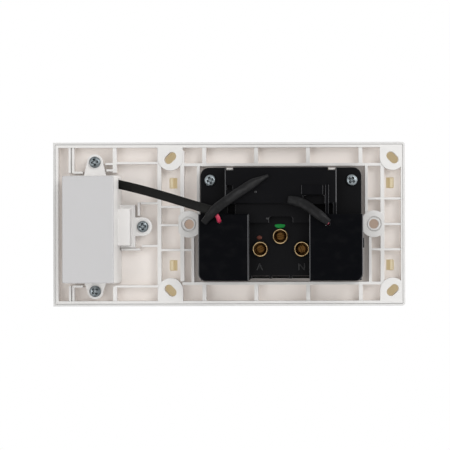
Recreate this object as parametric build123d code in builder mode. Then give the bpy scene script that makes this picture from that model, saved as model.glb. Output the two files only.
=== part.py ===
# Double power outlet with two rocker switches and a USB charger module, seen mostly from behind.
# Millimetres. +Z is up and the room is on the -Y side. The wall plane is y = 0, where the back frame's
# rim rests. The origin lies midway between the two wall-screw holes.
# Left and right are as seen from the room, so left is -X.
import math
import os

from build123d import *

os.makedirs("parts", exist_ok=True)

# Plate and cover
plate_length = 160.0
plate_height = 74.5
plate_centre = 23.8
corner_near_usb = 2.4
corner_far = 1.4
cover_front = -11.0
cover_thickness = 2.0
skirt = 1.0
skirt_gap = 0.15
skirt_lip = 0.6
rim = 1.25
rim_far = 0.75
floor_back = -6.0
floor_thickness = 1.5
rib_top = -0.4
rib = 1.8
thin_rib = 1.0
double_rib = (94.7, 96.25)
rib_left = -45.9
rib_right = 45.1
rib_middle = 55.5
rib_charger = 75.8

# Wall fixings
screw_spacing = 84.0
screw_hole = 2.2
screw_groove = 3.5
screw_collar = 2.9
screw_groove_depth = 0.6
boss = 6.1
boss_gap = 0.9
boss_flat = 4.8
slot_spacing_x = 101.0
slot_spacing_z = 60.3
slot_length = 6.1
slot_width = 3.9
slot_boss = 5.7
hook_spacing_x = 98.8
hook_spacing_z = 37.6
hook_window_x = 3.2
hook_window_z = 4.8
hook_wall = 1.2
hook_gap = 0.2

# Mechanism housing
mech_width = 72.4
mech_bottom = -25.3
mech_top = 25.4
mech_corner_top = 3.8
mech_corner_bottom = 3.2
ring_gap_left = 1.8
ring_gap_right = 0.9
ring_gap_lower = 3.5
ring_gap_z = 1.0
ring_wall = 1.3
land_back = 8.0
block_back = 15.0
lower_back = 18.0
band_back = 13.0
recess_back = 10.0
housing_wall = 1.5
block_half = 24.9
block_bottom = 9.2
lower_top = 4.4
recess_right = 14.3
recess_left = -12.8
recess_top = 0.6
recess_bottom = -23.2
notch_half = 5.4
notch_top = 3.4
leg_drop = 1.3
lower_flare = 1.012
sill = 0.8
leg = 1.2
leg_pitch = 9.0
channel_floor = 2.4
ledge_gap = 0.2
ledge = 2.2
latch_x = 22.9
latch_width = 3.0
latch_thickness = 1.0
latch_gap = 0.2
groove_depth = 1.4

# Sockets
socket_spacing = 49.0
socket_z = -7.0
live_radius = 7.92
live_tilt = 30.0
earth_drop = 10.31
pin_slot_length = 7.2
pin_slot_width = 2.2
flange_thickness = 1.3
front_plate_back = -6.0
front_body_back = -4.0

# Switches
switch_spacing = 30.0
switch_z = 16.5
rocker_width = 8.6
rocker_face = 7.6
rocker_reach = 4.4
rocker_dish = 0.6
rocker_pivot = -7.6
rocker_rest = -8.0
rocker_gap = 0.3
pin_radius = 1.0
pin_clearance = 0.06
pin_length = 1.2
stem_radius = 2.2
stem_end = 5.0
stem_bore = 1.45
plunger_radius = 1.35
plunger_tip = 8.1
plunger_length = 5.0
spring_radius = 1.1
spring_wire = 0.32
spring_turns = 4
arm_pivot = 2.2
arm_rest = 7.0
arm_width = 5.0
arm_thickness = 0.8
arm_offset = 0.8
arm_up = 5.8
arm_down = 5.8
fulcrum_radius = 0.7
arm_ear = 0.5
arm_ear_gap = 0.15
rivet_radius = 1.2
rivet_height = 0.5
rivet_reach = 4.5
contact_gap = 0.1

# Conductors, each a strip pressed from sheet
strip = 0.8
strip_width = 2.6
leaf = 0.6
leaf_length = 5.4
leaf_gap = 1.3
active_level = 3.4
neutral_level = 0.6
earth_level = -2.4
leaf_reach = 5.8
neutral_line = 1.8
feed_line = 22.4

# Terminals
terminal_x = 9.3
terminal_z = -11.2
earth_terminal_x = 0.3
earth_terminal_z = -5.5
tube_radius = 3.4
tube_bore = 2.45
tube_mouth = 0.55
tube_gap = 0.1
tube_back = 12.6
wire_hole = 1.9
wire_level = 5.8
terminal_screw_radius = 2.3
terminal_screw_back = 9.3
terminal_screw_length = 1.7
slot_cut = 0.8

# Mechanism screws
mech_screw_x = 31.8
mech_screw_z = 19.7
mech_screw_head = 2.6
mech_screw_head_height = 1.7
mech_screw_shank = 1.4
mech_screw_tip = -6.8
screw_slack = 0.1
pillar = 2.3
pad = 1.0

# USB charger
usb_left = 74.2
usb_right = 97.0
usb_bottom = -26.0
usb_top = 21.5
usb_draft = 2.4
usb_back = 18.5
usb_wall = 1.5
ear_back = -1.0
ear_thickness = 1.6
ear_x = 84.8
ear_top_z = 28.3
ear_bottom_z = -30.4
ear_side_x = 63.1
ear_side_z = -1.0
ear_radius = 3.6
ear_side_radius = 4.2
ear_root = 10.4
step_left = 66.6
step_top = 8.9
step_bottom = -10.6
step_box_left = 68.3
step_box_top = 7.1
step_box_bottom = -9.5
step_box_back = 6.0
usb_screw_head = 2.6
usb_screw_head_height = 1.8
usb_screw_shank = 1.2
usb_screw_length = 4.4
port_x = 85.2
port_z = -2.1
port_spacing = 15.0
port_width = 13.2
port_height = 5.8
port_shell = 0.4
port_front = -10.6
port_gap = 0.25
tongue_width = 11.0
tongue_height = 1.9
tongue_front = -9.4
board_front = 4.0
board_thickness = 1.6
board_gap = 0.2
post = 2.2

# Supply wires
lead_width = 4.2
lead_thickness = 2.0
lead_exit = (2.6, 18.4)
red_wire_radius = 0.9
wire_slack = 0.25
red_wire_bores = ((27.3, 1.4), (-21.0, 0.2))

# Values that follow
cover_inner = cover_front + cover_thickness
floor_front = floor_back - floor_thickness
plate_left = plate_centre - plate_length / 2
plate_right = plate_centre + plate_length / 2
half_height = plate_height / 2
pocket_left = plate_left + skirt + skirt_gap + rim_far
pocket_right = plate_right - skirt - skirt_gap - rim
pocket_top = half_height - skirt - skirt_gap - rim
screw_x = screw_spacing / 2
mech_half = mech_width / 2
ring_upper_left = mech_half + ring_gap_left
ring_upper_right = mech_half + ring_gap_right
ring_lower = mech_half + ring_gap_lower
ring_top = mech_top + ring_gap_z
ring_bottom = mech_bottom - ring_gap_z
front_half = mech_half - ledge
front_bottom = mech_bottom + ledge
front_top = mech_top - groove_depth - housing_wall - ledge_gap
live_x = live_radius * math.cos(math.radians(live_tilt))
live_z = live_radius * math.sin(math.radians(live_tilt))
socket_places = (-socket_spacing / 2, socket_spacing / 2)
switch_places = (-switch_spacing / 2, switch_spacing / 2)
sides = ("left", "right")
rocker_radius = math.hypot(rocker_face, rocker_reach)
tube_places = ((terminal_x, terminal_z), (-terminal_x, terminal_z), (earth_terminal_x, earth_terminal_z))
mech_screw_places = ((-mech_screw_x, mech_screw_z), (mech_screw_x, mech_screw_z))
ear_places = ((ear_x, ear_top_z), (ear_x, ear_bottom_z), (ear_side_x, ear_side_z))
port_places = (port_z + port_spacing / 2, port_z - port_spacing / 2)
board_back = board_front + board_thickness
pieces = []


def across(y):
    """Return the plane at depth y across the plate. Its sketch lies in X and Z and extrudes towards the room."""
    return Plane.XZ.offset(-y)


def swung(x, y, angle):
    """Return the plane through a switch's pivot, in which sketches run back and up, turned by an angle."""
    turn = math.radians(angle)
    return Plane((x, y, switch_z), x_dir=(0, math.cos(turn), math.sin(turn)), z_dir=(1, 0, 0))


def span(x0, x1, z0, z1, mode=Mode.ADD):
    """Draw a rectangle from x0 to x1 and z0 to z1."""
    with Locations(((x0 + x1) / 2, (z0 + z1) / 2)):
        Rectangle(abs(x1 - x0), abs(z1 - z0), mode=mode)


def plate_outline(inset):
    """Return the plate's outline, moved in by a distance."""
    with BuildSketch(mode=Mode.PRIVATE) as outline:
        span(plate_left + inset, plate_right - inset, -half_height + inset, half_height - inset)
        corners = outline.vertices().group_by(Axis.X)
        fillet(corners[0], max(corner_far - inset, 0.4))
        fillet(corners[-1], max(corner_near_usb - inset, 0.4))
    return outline.sketch


def pin_slots(length, width):
    """Draw the three pin slots of both sockets."""
    for x in socket_places:
        for side, tilt in ((-1, -live_tilt), (1, live_tilt)):
            with Locations((x + side * live_x, socket_z + live_z)):
                Rectangle(width, length, rotation=tilt)
        with Locations((x, socket_z - earth_drop)):
            Rectangle(width, length)


def keep(part, name, color):
    """Label a finished piece, write its file and list it."""
    part.label = name
    part.color = Color(color)
    export_step(part, f"parts/{name}.step")
    pieces.append(part)


# Front cover with its skirt, the openings and the four hooks that pass through the frame's windows
rocker_opening = math.sqrt(rocker_radius**2 - (cover_inner - rocker_pivot) ** 2) + rocker_gap
with BuildPart() as cover_plate:
    with BuildSketch(across(-skirt_lip)):
        add(plate_outline(0))
    extrude(amount=-skirt_lip - cover_front)
    fillet(cover_plate.faces().sort_by(Axis.Y)[0].edges(), 1.2)
    with BuildSketch(across(-skirt_lip)):
        add(plate_outline(skirt))
    extrude(amount=-skirt_lip - cover_inner, mode=Mode.SUBTRACT)
    with BuildSketch(across(cover_inner)):
        pin_slots(pin_slot_length, pin_slot_width)
        for x in switch_places:
            with Locations((x, switch_z)):
                Rectangle(rocker_width + 2 * rocker_gap, 2 * rocker_opening)
        for z in port_places:
            with Locations((port_x, z)):
                Rectangle(port_width + 2 * port_gap, port_height + 2 * port_gap)
    extrude(amount=cover_thickness, mode=Mode.SUBTRACT)
    for side_x in (-1, 1):
        for side_z in (-1, 1):
            edge = side_x * (hook_spacing_x / 2 + hook_window_x / 2)
            seat = edge - side_x * hook_gap
            tip = floor_back + 1.1
            with BuildSketch(Plane.XY.offset(side_z * hook_spacing_z / 2)):
                with BuildLine():
                    Polyline(
                        (seat, cover_inner),
                        (seat, floor_back + 0.1),
                        (seat + side_x * 0.5, floor_back + 0.1),
                        (seat - side_x * 0.2, tip),
                        (seat - side_x * hook_wall, tip),
                        (seat - side_x * hook_wall, cover_inner),
                        close=True,
                    )
                make_face()
            extrude(amount=hook_window_z / 2 - hook_gap, both=True)
keep(cover_plate.part, "cover_plate", "white")

# Back frame: tray, ribs, bosses and the ring of walls round the mechanism
slot_x = slot_spacing_x / 2
slot_z = slot_spacing_z / 2
with BuildPart() as grid_plate:
    with BuildSketch(across(0)):
        add(plate_outline(skirt + skirt_gap))
    extrude(amount=-cover_inner)
    with BuildSketch(across(0)):
        span(pocket_left, pocket_right, -pocket_top, pocket_top)
    extrude(amount=-floor_back, mode=Mode.SUBTRACT)
    with BuildSketch(across(floor_front)):
        span(pocket_left, pocket_right, -pocket_top, pocket_top)
    extrude(amount=floor_front - cover_inner, mode=Mode.SUBTRACT)

    with BuildSketch(across(rib_top)):
        # ring round the mechanism, wider below the wall screws
        for side, upper in ((-1, ring_upper_left), (1, ring_upper_right)):
            span(side * upper, side * (upper + ring_wall), 0, ring_top + ring_wall)
            span(side * ring_lower, side * (ring_lower + ring_wall), ring_bottom - ring_wall, 0)
            span(side * upper, side * (ring_lower + ring_wall), -ring_wall / 2, ring_wall / 2)
        for z in (ring_top, ring_bottom - ring_wall):
            span(rib_left, rib_right, z, z + ring_wall)
        # full-height and long ribs, at x from z to z
        for x, low, high in (
            (rib_middle, -pocket_top, pocket_top),
            (rib_right, -slot_z + 4.2, slot_z + 3.3),
            (rib_left, -slot_z - 4.3, slot_z + 4.3),
            (rib_charger, usb_top + 2.0, pocket_top),
            (rib_charger, -pocket_top, usb_bottom - 2.0),
        ):
            span(x - rib / 2, x + rib / 2, low, high)
        # double rib beside the charger
        for x in double_rib:
            for low, high in ((usb_top + 1.9, pocket_top), (-pocket_top, usb_bottom - 2.0)):
                span(x - thin_rib / 2, x + thin_rib / 2, low, high)
        # cross ribs, at z from x to x
        for z, near, far in (
            (27.9, rib_middle, rib_charger),
            (-28.2, rib_middle, rib_charger),
            (7.9, rib_right, rib_middle),
            (-0.4, rib_right, rib_middle),
            (-11.7, ring_lower + 1.3, rib_middle),
            (11.5, -ring_upper_left - 1.2, pocket_left),
            (-0.1, rib_left, pocket_left),
            (-11.6, -ring_lower - 1.3, pocket_left),
            (9.6, rib_middle, ear_side_x + 0.9),
            (-9.8, rib_middle, ear_side_x + 0.4),
            (27.5, rib_charger, ear_x - 4.8),
            (24.6, rib_charger, ear_x - ear_root / 2),
            (usb_top + 2.1, ear_x + ear_root / 2 + 0.4, double_rib[0]),
            (usb_bottom - 2.2, ear_x + ear_root / 2 + 0.4, double_rib[0]),
        ):
            span(near, far, z - thin_rib / 2, z + thin_rib / 2)
        # short ribs between the ring and the rim
        for x in (35.1, 11.5, -12.1, -36.0):
            span(x - rib / 2, x + rib / 2, ring_top, pocket_top)
            span(x - rib / 2, x + rib / 2, -pocket_top, ring_bottom)
        # angle ribs beside the charger's side box
        span(64.4, 65.4, 4.0, 10.0)
        span(64.4, 72.9, -11.9, -10.9)
    extrude(amount=rib_top - floor_back)
    # shallow web between the two ribs
    with BuildSketch(across(rib_top - 1.2)):
        for low, high in ((usb_top + 1.9, pocket_top), (-pocket_top, usb_bottom - 2.0)):
            span(*double_rib, low, high)
    extrude(amount=rib_top - 1.2 - floor_back)
    # wall-screw bosses, cut back beside the mechanism and at the ribs
    with BuildSketch(across(0)):
        with Locations((-screw_x, 0), (screw_x, 0)):
            Circle(boss)
        span(-screw_x - boss_flat, screw_x + boss_flat, -boss, boss, mode=Mode.INTERSECT)
        span(-mech_half - boss_gap, mech_half + boss_gap, -boss, boss, mode=Mode.SUBTRACT)
    extrude(amount=-floor_back)

    with BuildSketch(across(0)):
        for side_x in (-1, 1):
            for side_z in (-1, 1):
                with Locations((side_x * slot_x, side_z * slot_z)):
                    Circle(slot_boss)
                span(
                    side_x * (slot_x - slot_boss),
                    side_x * (slot_x + slot_boss),
                    side_z * slot_z,
                    side_z * (pocket_top + rim / 2),
                )
        add(plate_outline(skirt + skirt_gap), mode=Mode.INTERSECT)
    extrude(amount=-floor_back)

    # pillars under the charger's ears and posts under its board
    with BuildSketch(across(ear_back - ear_thickness)):
        for place in ear_places:
            with Locations(place):
                Circle(ear_radius - 0.4)
    extrude(amount=ear_back - ear_thickness - floor_back)
    with BuildSketch(across(board_front)):
        for z in (usb_top - 5.0, usb_bottom + 5.0):
            with Locations((port_x, z)):
                Rectangle(2 * post, post)
    extrude(amount=board_front - floor_back)

    # openings through the floor
    with BuildSketch(across(0)):
        span(-front_half - ledge_gap, front_half + ledge_gap, front_bottom - ledge_gap, front_top + ledge_gap)
        for x in (-screw_x, screw_x):
            with Locations((x, 0)):
                Circle(screw_hole)
        for side_x in (-1, 1):
            for side_z in (-1, 1):
                with Locations((side_x * slot_x, side_z * slot_z)):
                    SlotOverall(slot_length, slot_width, rotation=-side_x * side_z * 45)
                with Locations((side_x * hook_spacing_x / 2, side_z * hook_spacing_z / 2)):
                    Rectangle(hook_window_x, hook_window_z)
        for z in port_places:
            with Locations((port_x, z)):
                Rectangle(port_width + 2 * port_gap, port_height + 2 * port_gap)
    extrude(amount=-floor_front, mode=Mode.SUBTRACT)
    with BuildSketch(across(0)):
        with Locations((-screw_x, 0), (screw_x, 0)):
            Circle(screw_groove)
            Circle(screw_collar, mode=Mode.SUBTRACT)
    extrude(amount=screw_groove_depth, mode=Mode.SUBTRACT)
    with BuildSketch(across(ear_back - ear_thickness)):
        for place in ear_places:
            with Locations(place):
                Circle(usb_screw_shank + screw_slack)
    extrude(amount=ear_back - ear_thickness - floor_front - 0.6, mode=Mode.SUBTRACT)
    # channel for the mechanism's latches
    with BuildSketch(across(floor_back)):
        for x in (-latch_x, latch_x):
            half = latch_width / 2 + latch_gap
            span(x - half, x + half, front_top, mech_top)
    extrude(amount=floor_thickness, mode=Mode.SUBTRACT)
keep(grid_plate.part, "grid_plate", "antiquewhite")

# Mechanism front: flange on the frame's front, body through the frame, slots, rocker seats and latches
with BuildPart() as socket_front:
    with BuildSketch(across(floor_front)):
        with Locations((0, (mech_top + mech_bottom) / 2)):
            RectangleRounded(mech_width - 1, mech_top - mech_bottom - 1, 2)
    extrude(amount=flange_thickness)
    with BuildSketch(across(front_plate_back)):
        span(-front_half, front_half, front_bottom, front_top)
    extrude(amount=front_plate_back - floor_front)
    with BuildSketch(across(front_body_back)):
        span(-front_half, front_half, front_bottom, front_top)
        span(
            -front_half + housing_wall,
            front_half - housing_wall,
            front_bottom + housing_wall,
            front_top - housing_wall,
            mode=Mode.SUBTRACT,
        )
        for x in switch_places:
            with Locations((x, switch_z)):
                Rectangle(rocker_width + 5.2, front_top * 2 - switch_z * 2)
        for place in mech_screw_places:
            with Locations(place):
                Circle(pillar)
    extrude(amount=front_body_back - front_plate_back)
    # posts that back up the neutral and earth strips
    for level, spots in (
        (neutral_level, ((-18.0, neutral_line), (25.0, neutral_line), (-terminal_x, -4.0))),
        (earth_level, ((-12.0, socket_z - earth_drop), (12.0, socket_z - earth_drop))),
    ):
        with BuildSketch(across(level)):
            with Locations(*spots):
                Circle(0.8)
        extrude(amount=level - front_plate_back)
    # latches along the top
    for side in (-1, 1):
        with BuildSketch(Plane.YZ.offset(side * latch_x)):
            with BuildLine():
                Polyline(
                    (floor_front - flange_thickness, mech_top - latch_thickness - latch_gap),
                    (land_back + 2.6, mech_top - latch_thickness - latch_gap),
                    (land_back + 2.6, mech_top - latch_gap - 0.5),
                    (land_back + 1.6, mech_top - latch_gap),
                    (floor_front - flange_thickness, mech_top - latch_gap),
                    close=True,
                )
            make_face()
        extrude(amount=latch_width / 2, both=True)
    with BuildSketch(across(front_body_back)):
        pin_slots(pin_slot_length, pin_slot_width)
        for x in switch_places:
            with Locations((x, switch_z)):
                Rectangle(rocker_width + 2 * rocker_gap, 2 * rocker_opening)
    extrude(amount=front_body_back - floor_front + flange_thickness, mode=Mode.SUBTRACT)
    # seats of the rocker pins, open to the back
    pin_slot = 2 * (pin_radius + pin_clearance)
    pin_span = rocker_width + 2 * pin_length + 0.4
    for x in switch_places:
        with BuildSketch(Plane.YZ.offset(x)):
            with Locations((rocker_pivot, switch_z)):
                Circle(pin_slot / 2)
            span(rocker_pivot, front_body_back, switch_z - pin_slot / 2, switch_z + pin_slot / 2)
        extrude(amount=pin_span / 2, both=True, mode=Mode.SUBTRACT)
    with BuildSketch(across(front_body_back)):
        for place in mech_screw_places:
            with Locations(place):
                Circle(mech_screw_shank + screw_slack)
    extrude(amount=front_body_back - mech_screw_tip + screw_slack, mode=Mode.SUBTRACT)
keep(socket_front.part, "socket_front", "ivory")

# Black rear housing of the mechanism
leg_places = [recess_right - leg / 2 - i * leg_pitch for i in range(4)]
with BuildPart() as mechanism_base:
    with BuildSketch(across(land_back)) as outline:
        span(-mech_half, mech_half, mech_bottom, mech_top)
        rows = outline.vertices().group_by(Axis.Y)
        fillet(rows[-1], mech_corner_top)
        fillet(rows[0], mech_corner_bottom)
    extrude(amount=land_back - floor_back)
    # raised block over the switches
    with BuildSketch(across(block_back)) as block:
        span(-block_half, block_half, block_bottom, mech_top)
        fillet(block.vertices().group_by(Axis.Y)[-1], 1.0)
    extrude(amount=block_back - land_back + 1)
    # band between the block and the terminals
    with BuildSketch(across(band_back)):
        span(recess_left - 1, recess_right + 6.2, recess_top, block_bottom + 0.5)
    extrude(amount=band_back - land_back + 1)
    # terminal floor, with its rounded notch in the band
    with BuildSketch(across(band_back)) as notch:
        span(recess_left, recess_right, mech_bottom, recess_top)
        span(-notch_half, notch_half, recess_top - 3, notch_top)
        tops = notch.vertices().group_by(Axis.Y)[-1]
        fillet(tops, 1.2)
    extrude(amount=band_back - recess_back, mode=Mode.SUBTRACT)
    with BuildSketch(across(recess_back)):
        span(recess_left - 1, recess_right + 1, recess_bottom, recess_top + 3)
    extrude(amount=recess_back - land_back + 1)
    # lower blocks over the socket contacts
    for inner, outer in ((recess_right, mech_half), (recess_left, -mech_half)):
        with BuildSketch(across(lower_back)) as lower:
            span(inner, outer * lower_flare, mech_bottom, lower_top)
            low = lower.vertices().group_by(Axis.Y)[0].sort_by(Axis.X)
            fillet(low[-1 if outer > 0 else 0], mech_corner_bottom)
        extrude(amount=lower_back - floor_back)
    for depth in (lower_back, block_back):
        fillet(mechanism_base.faces().filter_by(Axis.Y).group_by(Axis.Y)[-1 if depth == lower_back else -2].edges(), 0.5)

    # cavities, open to the front
    with BuildSketch(across(land_back - housing_wall)):
        span(
            -mech_half + housing_wall,
            mech_half - housing_wall,
            mech_bottom + housing_wall,
            mech_top - groove_depth - housing_wall,
        )
    extrude(amount=land_back - housing_wall - floor_back, mode=Mode.SUBTRACT)
    for inner, outer in (
        (recess_right + housing_wall, mech_half - housing_wall),
        (recess_left - housing_wall, -mech_half + housing_wall),
    ):
        with BuildSketch(across(lower_back - housing_wall)):
            span(inner, outer, mech_bottom + housing_wall, lower_top - housing_wall)
        extrude(amount=lower_back - housing_wall - floor_back, mode=Mode.SUBTRACT)
    with BuildSketch(across(block_back - housing_wall)):
        span(
            -block_half + 2 * housing_wall,
            block_half - 2 * housing_wall,
            block_bottom + housing_wall,
            mech_top - groove_depth - housing_wall,
        )
    extrude(amount=block_back - housing_wall - floor_back, mode=Mode.SUBTRACT)
    with BuildSketch(across(recess_back - housing_wall)):
        span(recess_left + leg, recess_right - leg, recess_bottom + housing_wall, recess_top)
    extrude(amount=recess_back - housing_wall - floor_back, mode=Mode.SUBTRACT)

    # wire entries: a floor, three open channels and the four legs between them
    with BuildSketch(across(channel_floor)):
        span(recess_left, recess_right, recess_bottom, terminal_z - tube_radius - 1)
    extrude(amount=0.8)
    with BuildSketch(across(recess_back - housing_wall)):
        span(recess_left, recess_right, mech_bottom, recess_bottom + housing_wall)
    extrude(amount=recess_back - housing_wall - channel_floor, mode=Mode.SUBTRACT)
    with BuildSketch(across(recess_back)):
        span(recess_left, recess_right, mech_bottom, recess_bottom)
    extrude(amount=recess_back - channel_floor, mode=Mode.SUBTRACT)
    with BuildSketch(across(recess_back)):
        for x in leg_places:
            span(x - leg / 2, x + leg / 2, recess_bottom - leg_drop, terminal_z - tube_radius - 1)
    extrude(amount=recess_back - channel_floor + 0.8)

    # lower edge between the blocks, cut back to a thin sill
    with BuildSketch(across(channel_floor)):
        span(recess_left, recess_right, mech_bottom - 1, mech_bottom + housing_wall - sill)
    extrude(amount=channel_floor - floor_back, mode=Mode.SUBTRACT)

    # pillars for the two screws, pads behind the live strips
    with BuildSketch(across(land_back - 1)):
        for place in mech_screw_places:
            with Locations(place):
                Circle(pillar)
    extrude(amount=land_back - 1 - front_body_back)
    for depth, spots in (
        (block_back - 1, ((switch_places[0], 12.6), (switch_places[1], 12.6), (0, feed_line - 1.2))),
        (land_back - 1, ((-30.4, 7.0), (terminal_x, 6.0))),
    ):
        with BuildSketch(across(depth)):
            with Locations(*spots):
                Circle(pad)
        extrude(amount=depth - active_level - strip)

    # through holes, screw holes and the latch grooves
    with BuildSketch(across(recess_back)):
        for place in tube_places:
            with Locations(place):
                Circle(tube_radius + tube_gap)
    extrude(amount=recess_back - wire_level, mode=Mode.SUBTRACT)
    with BuildSketch(across(land_back)):
        for place in mech_screw_places:
            with Locations(place):
                Circle(mech_screw_shank + screw_slack)
    extrude(amount=land_back - front_body_back, mode=Mode.SUBTRACT)
    with BuildSketch(across(block_back)):
        for side in (-1, 1):
            x = side * latch_x
            half = latch_width / 2 + latch_gap
            span(x - half, x + half, mech_top - groove_depth, mech_top + 1)
    extrude(amount=block_back - floor_back, mode=Mode.SUBTRACT)

    # slots and ribs beside the switches
    with BuildSketch(across(block_back)):
        span(21.4, 24.2, 15.2, 17.3)
        span(-19.6, -10.0, 9.2, 12.8)
    extrude(amount=2.6, mode=Mode.SUBTRACT)
    with BuildSketch(across(block_back - 2.6)):
        span(-19.6, -10.0, 8.8, 12.8)
    extrude(amount=1.1)
    with BuildSketch(across(band_back)):
        span(20.4, 24.0, 5.0, 8.8)
    extrude(amount=band_back - land_back + 1.2, mode=Mode.SUBTRACT)
    with BuildSketch(across(block_back + 1.2)):
        span(-21.4, -20.0, lower_top - 0.5, 17.5)
    extrude(amount=block_back + 1.2 - land_back + 1)
    with BuildSketch(across(block_back)):
        span(-block_half, -23.4, lower_top - 0.5, block_bottom + 0.5)
    extrude(amount=block_back - land_back + 1)
    with BuildSketch(across(block_back + 0.7)):
        span(-18.8, -9.3, 13.2, 17.3)
    extrude(amount=1.2)
    # latch at the far side
    with BuildSketch(across(lower_back - 3)):
        span(-mech_half - 1.0, -mech_half + 1, -10.6, -6.2)
    extrude(amount=6)
    # hole for the red wire
    with BuildSketch(across(lower_back)):
        with Locations(*red_wire_bores):
            Circle(red_wire_radius + wire_slack)
    extrude(amount=housing_wall, mode=Mode.SUBTRACT)
keep(mechanism_base.part, "mechanism_base", "gray20")

# Switch rockers, at rest in the off position with the upper end pressed in
for side, x in zip(sides, switch_places):
    plane = swung(x, rocker_pivot, rocker_rest)
    half = rocker_width / 2
    with BuildPart() as rocker:
        with BuildSketch(plane):
            with BuildLine():
                low_end = (-1.2, -math.sqrt(rocker_radius**2 - 1.2**2))
                high_end = (-1.2, -low_end[1])
                ThreePointArc((-rocker_reach, -rocker_face), (-rocker_reach + rocker_dish, 0),
                              (-rocker_reach, rocker_face))
                RadiusArc((-rocker_reach, rocker_face), high_end, rocker_radius)
                Line(high_end, low_end)
                RadiusArc(low_end, (-rocker_reach, -rocker_face), rocker_radius)
            make_face()
        extrude(amount=half, both=True)
        with BuildSketch(plane):
            Circle(pin_radius + 0.8)
            span(-1.8, 0, -pin_radius - 0.8, pin_radius + 0.8)
        extrude(amount=half, both=True)
        with BuildSketch(plane):
            Circle(pin_radius)
        extrude(amount=half + pin_length, both=True)
        stem = Plane(plane.origin, x_dir=(1, 0, 0), z_dir=plane.x_dir)
        with BuildSketch(stem.offset(-1.5)):
            Circle(stem_radius)
        extrude(amount=stem_end + 1.5)
        with BuildSketch(stem.offset(stem_end)):
            Circle(stem_bore)
        extrude(amount=-stem_end, mode=Mode.SUBTRACT)
    keep(rocker.part, f"rocker_{side}", "white")

    # sprung plunger in the rocker's stem
    with BuildPart() as plunger:
        with BuildSketch(plane):
            with BuildLine():
                start = plunger_tip - plunger_length
                Line((start, 0), (start, plunger_radius))
                Line((start, plunger_radius), (plunger_tip - plunger_radius, plunger_radius))
                RadiusArc((plunger_tip - plunger_radius, plunger_radius), (plunger_tip, 0), plunger_radius)
                Line((plunger_tip, 0), (start, 0))
            make_face()
        revolve(axis=Axis(plane.origin, plane.x_dir))
    keep(plunger.part, f"plunger_{side}", "sandybrown")

    spring_length = plunger_tip - plunger_length - 2 * spring_wire
    pitch = spring_length / spring_turns
    with BuildPart() as spring:
        with BuildLine() as coil:
            Helix(pitch, spring_length, spring_radius, center=stem.offset(spring_wire).origin, direction=stem.z_dir)
        with BuildSketch(Plane(origin=coil.line @ 0, z_dir=coil.line % 0)):
            RegularPolygon(spring_wire / 2, 6)
        sweep(is_frenet=True)
    keep(spring.part, f"plunger_spring_{side}", "silver")

    # rocking contact blade with its two ears, and its silver rivet
    plane = swung(x, arm_pivot, arm_rest)
    near = -arm_offset - arm_thickness
    with BuildPart() as arm:
        with BuildSketch(plane):
            span(near, -arm_offset, -arm_down, arm_up)
        extrude(amount=arm_width / 2, both=True)
        with BuildSketch(plane):
            span(near, 0.4, -1.4, 1.4)
        extrude(amount=arm_width / 2, both=True)
        with BuildSketch(plane):
            span(-arm_offset, 1.0, -2, 2)
        extrude(amount=arm_width / 2 - arm_ear, both=True, mode=Mode.SUBTRACT)
    keep(arm.part, f"contact_arm_{side}", "peru")
    with BuildPart() as rivet:
        rivet_plane = Plane(
            plane.from_local_coords(Vector(-arm_offset, rivet_reach, 0)), x_dir=(1, 0, 0), z_dir=plane.x_dir
        )
        with BuildSketch(rivet_plane):
            Circle(rivet_radius)
        extrude(amount=rivet_height, taper=20)
    keep(rivet.part, f"arm_contact_{side}", "silver")


def clip(x, z, tilt, level, forward=False):
    """Add one pin clip to the strip being built: its base, its window and two leaves pinched towards the pin."""
    with BuildSketch(across(level + strip)) as base:
        with Locations((x, z)):
            Rectangle(2 * (leaf_gap + leaf) + 0.4, leaf_length, rotation=tilt)
    extrude(base.sketch, amount=strip)
    with BuildSketch(across(level + strip)) as window:
        with Locations((x, z)):
            Rectangle(2 * leaf_gap, leaf_length - 1.2, rotation=tilt)
    extrude(window.sketch, amount=strip, mode=Mode.SUBTRACT)
    turn = math.radians(tilt)
    way = -1 if forward else 1
    root = level if forward else level + strip
    along = Plane((x, root, z), x_dir=(math.cos(turn), 0, math.sin(turn)), z_dir=(-math.sin(turn), 0, math.cos(turn)))
    for side in (-1, 1):
        with BuildSketch(along) as leaf_profile:
            with BuildLine():
                Polyline(
                    (side * leaf_gap, 0),
                    (side * 0.85, way * leaf_reach * 0.7),
                    (side * leaf_gap, way * leaf_reach),
                    (side * (leaf_gap + leaf), way * leaf_reach),
                    (side * (0.85 + leaf), way * leaf_reach * 0.7),
                    (side * (leaf_gap + leaf), 0),
                    close=True,
                )
            make_face()
        extrude(leaf_profile.sketch, amount=leaf_length / 2 - 0.6, both=True)


# Live strips: each carries the blade's fulcrum and one active clip
for side, switch_x, socket_x in zip(sides, switch_places, socket_places):
    clip_x = socket_x - live_x
    clip_z = socket_z + live_z
    with BuildPart() as active_clip:
        with BuildSketch(across(active_level + strip)):
            half = strip_width / 2
            span(switch_x - half, switch_x + half, 6.0, switch_z + half)
            span(switch_x + half if clip_x < switch_x else switch_x - half,
                 clip_x - half if clip_x < switch_x else clip_x + half, 5.6, 5.6 + strip_width)
            span(clip_x - half, clip_x + half, clip_z + leaf_length / 2 - 1.2, 5.6 + strip_width)
        extrude(amount=strip)
        clip(clip_x, clip_z, -live_tilt, active_level, forward=True)
        with BuildSketch(Plane.YZ.offset(switch_x)):
            with Locations((arm_pivot, switch_z)):
                Circle(fulcrum_radius)
            span(arm_pivot, active_level + strip / 2, switch_z - 0.5, switch_z + 0.5)
        extrude(amount=arm_width / 2 - arm_ear - arm_ear_gap, both=True)
    keep(active_clip.part, f"active_clip_{side}", "goldenrod")

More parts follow.
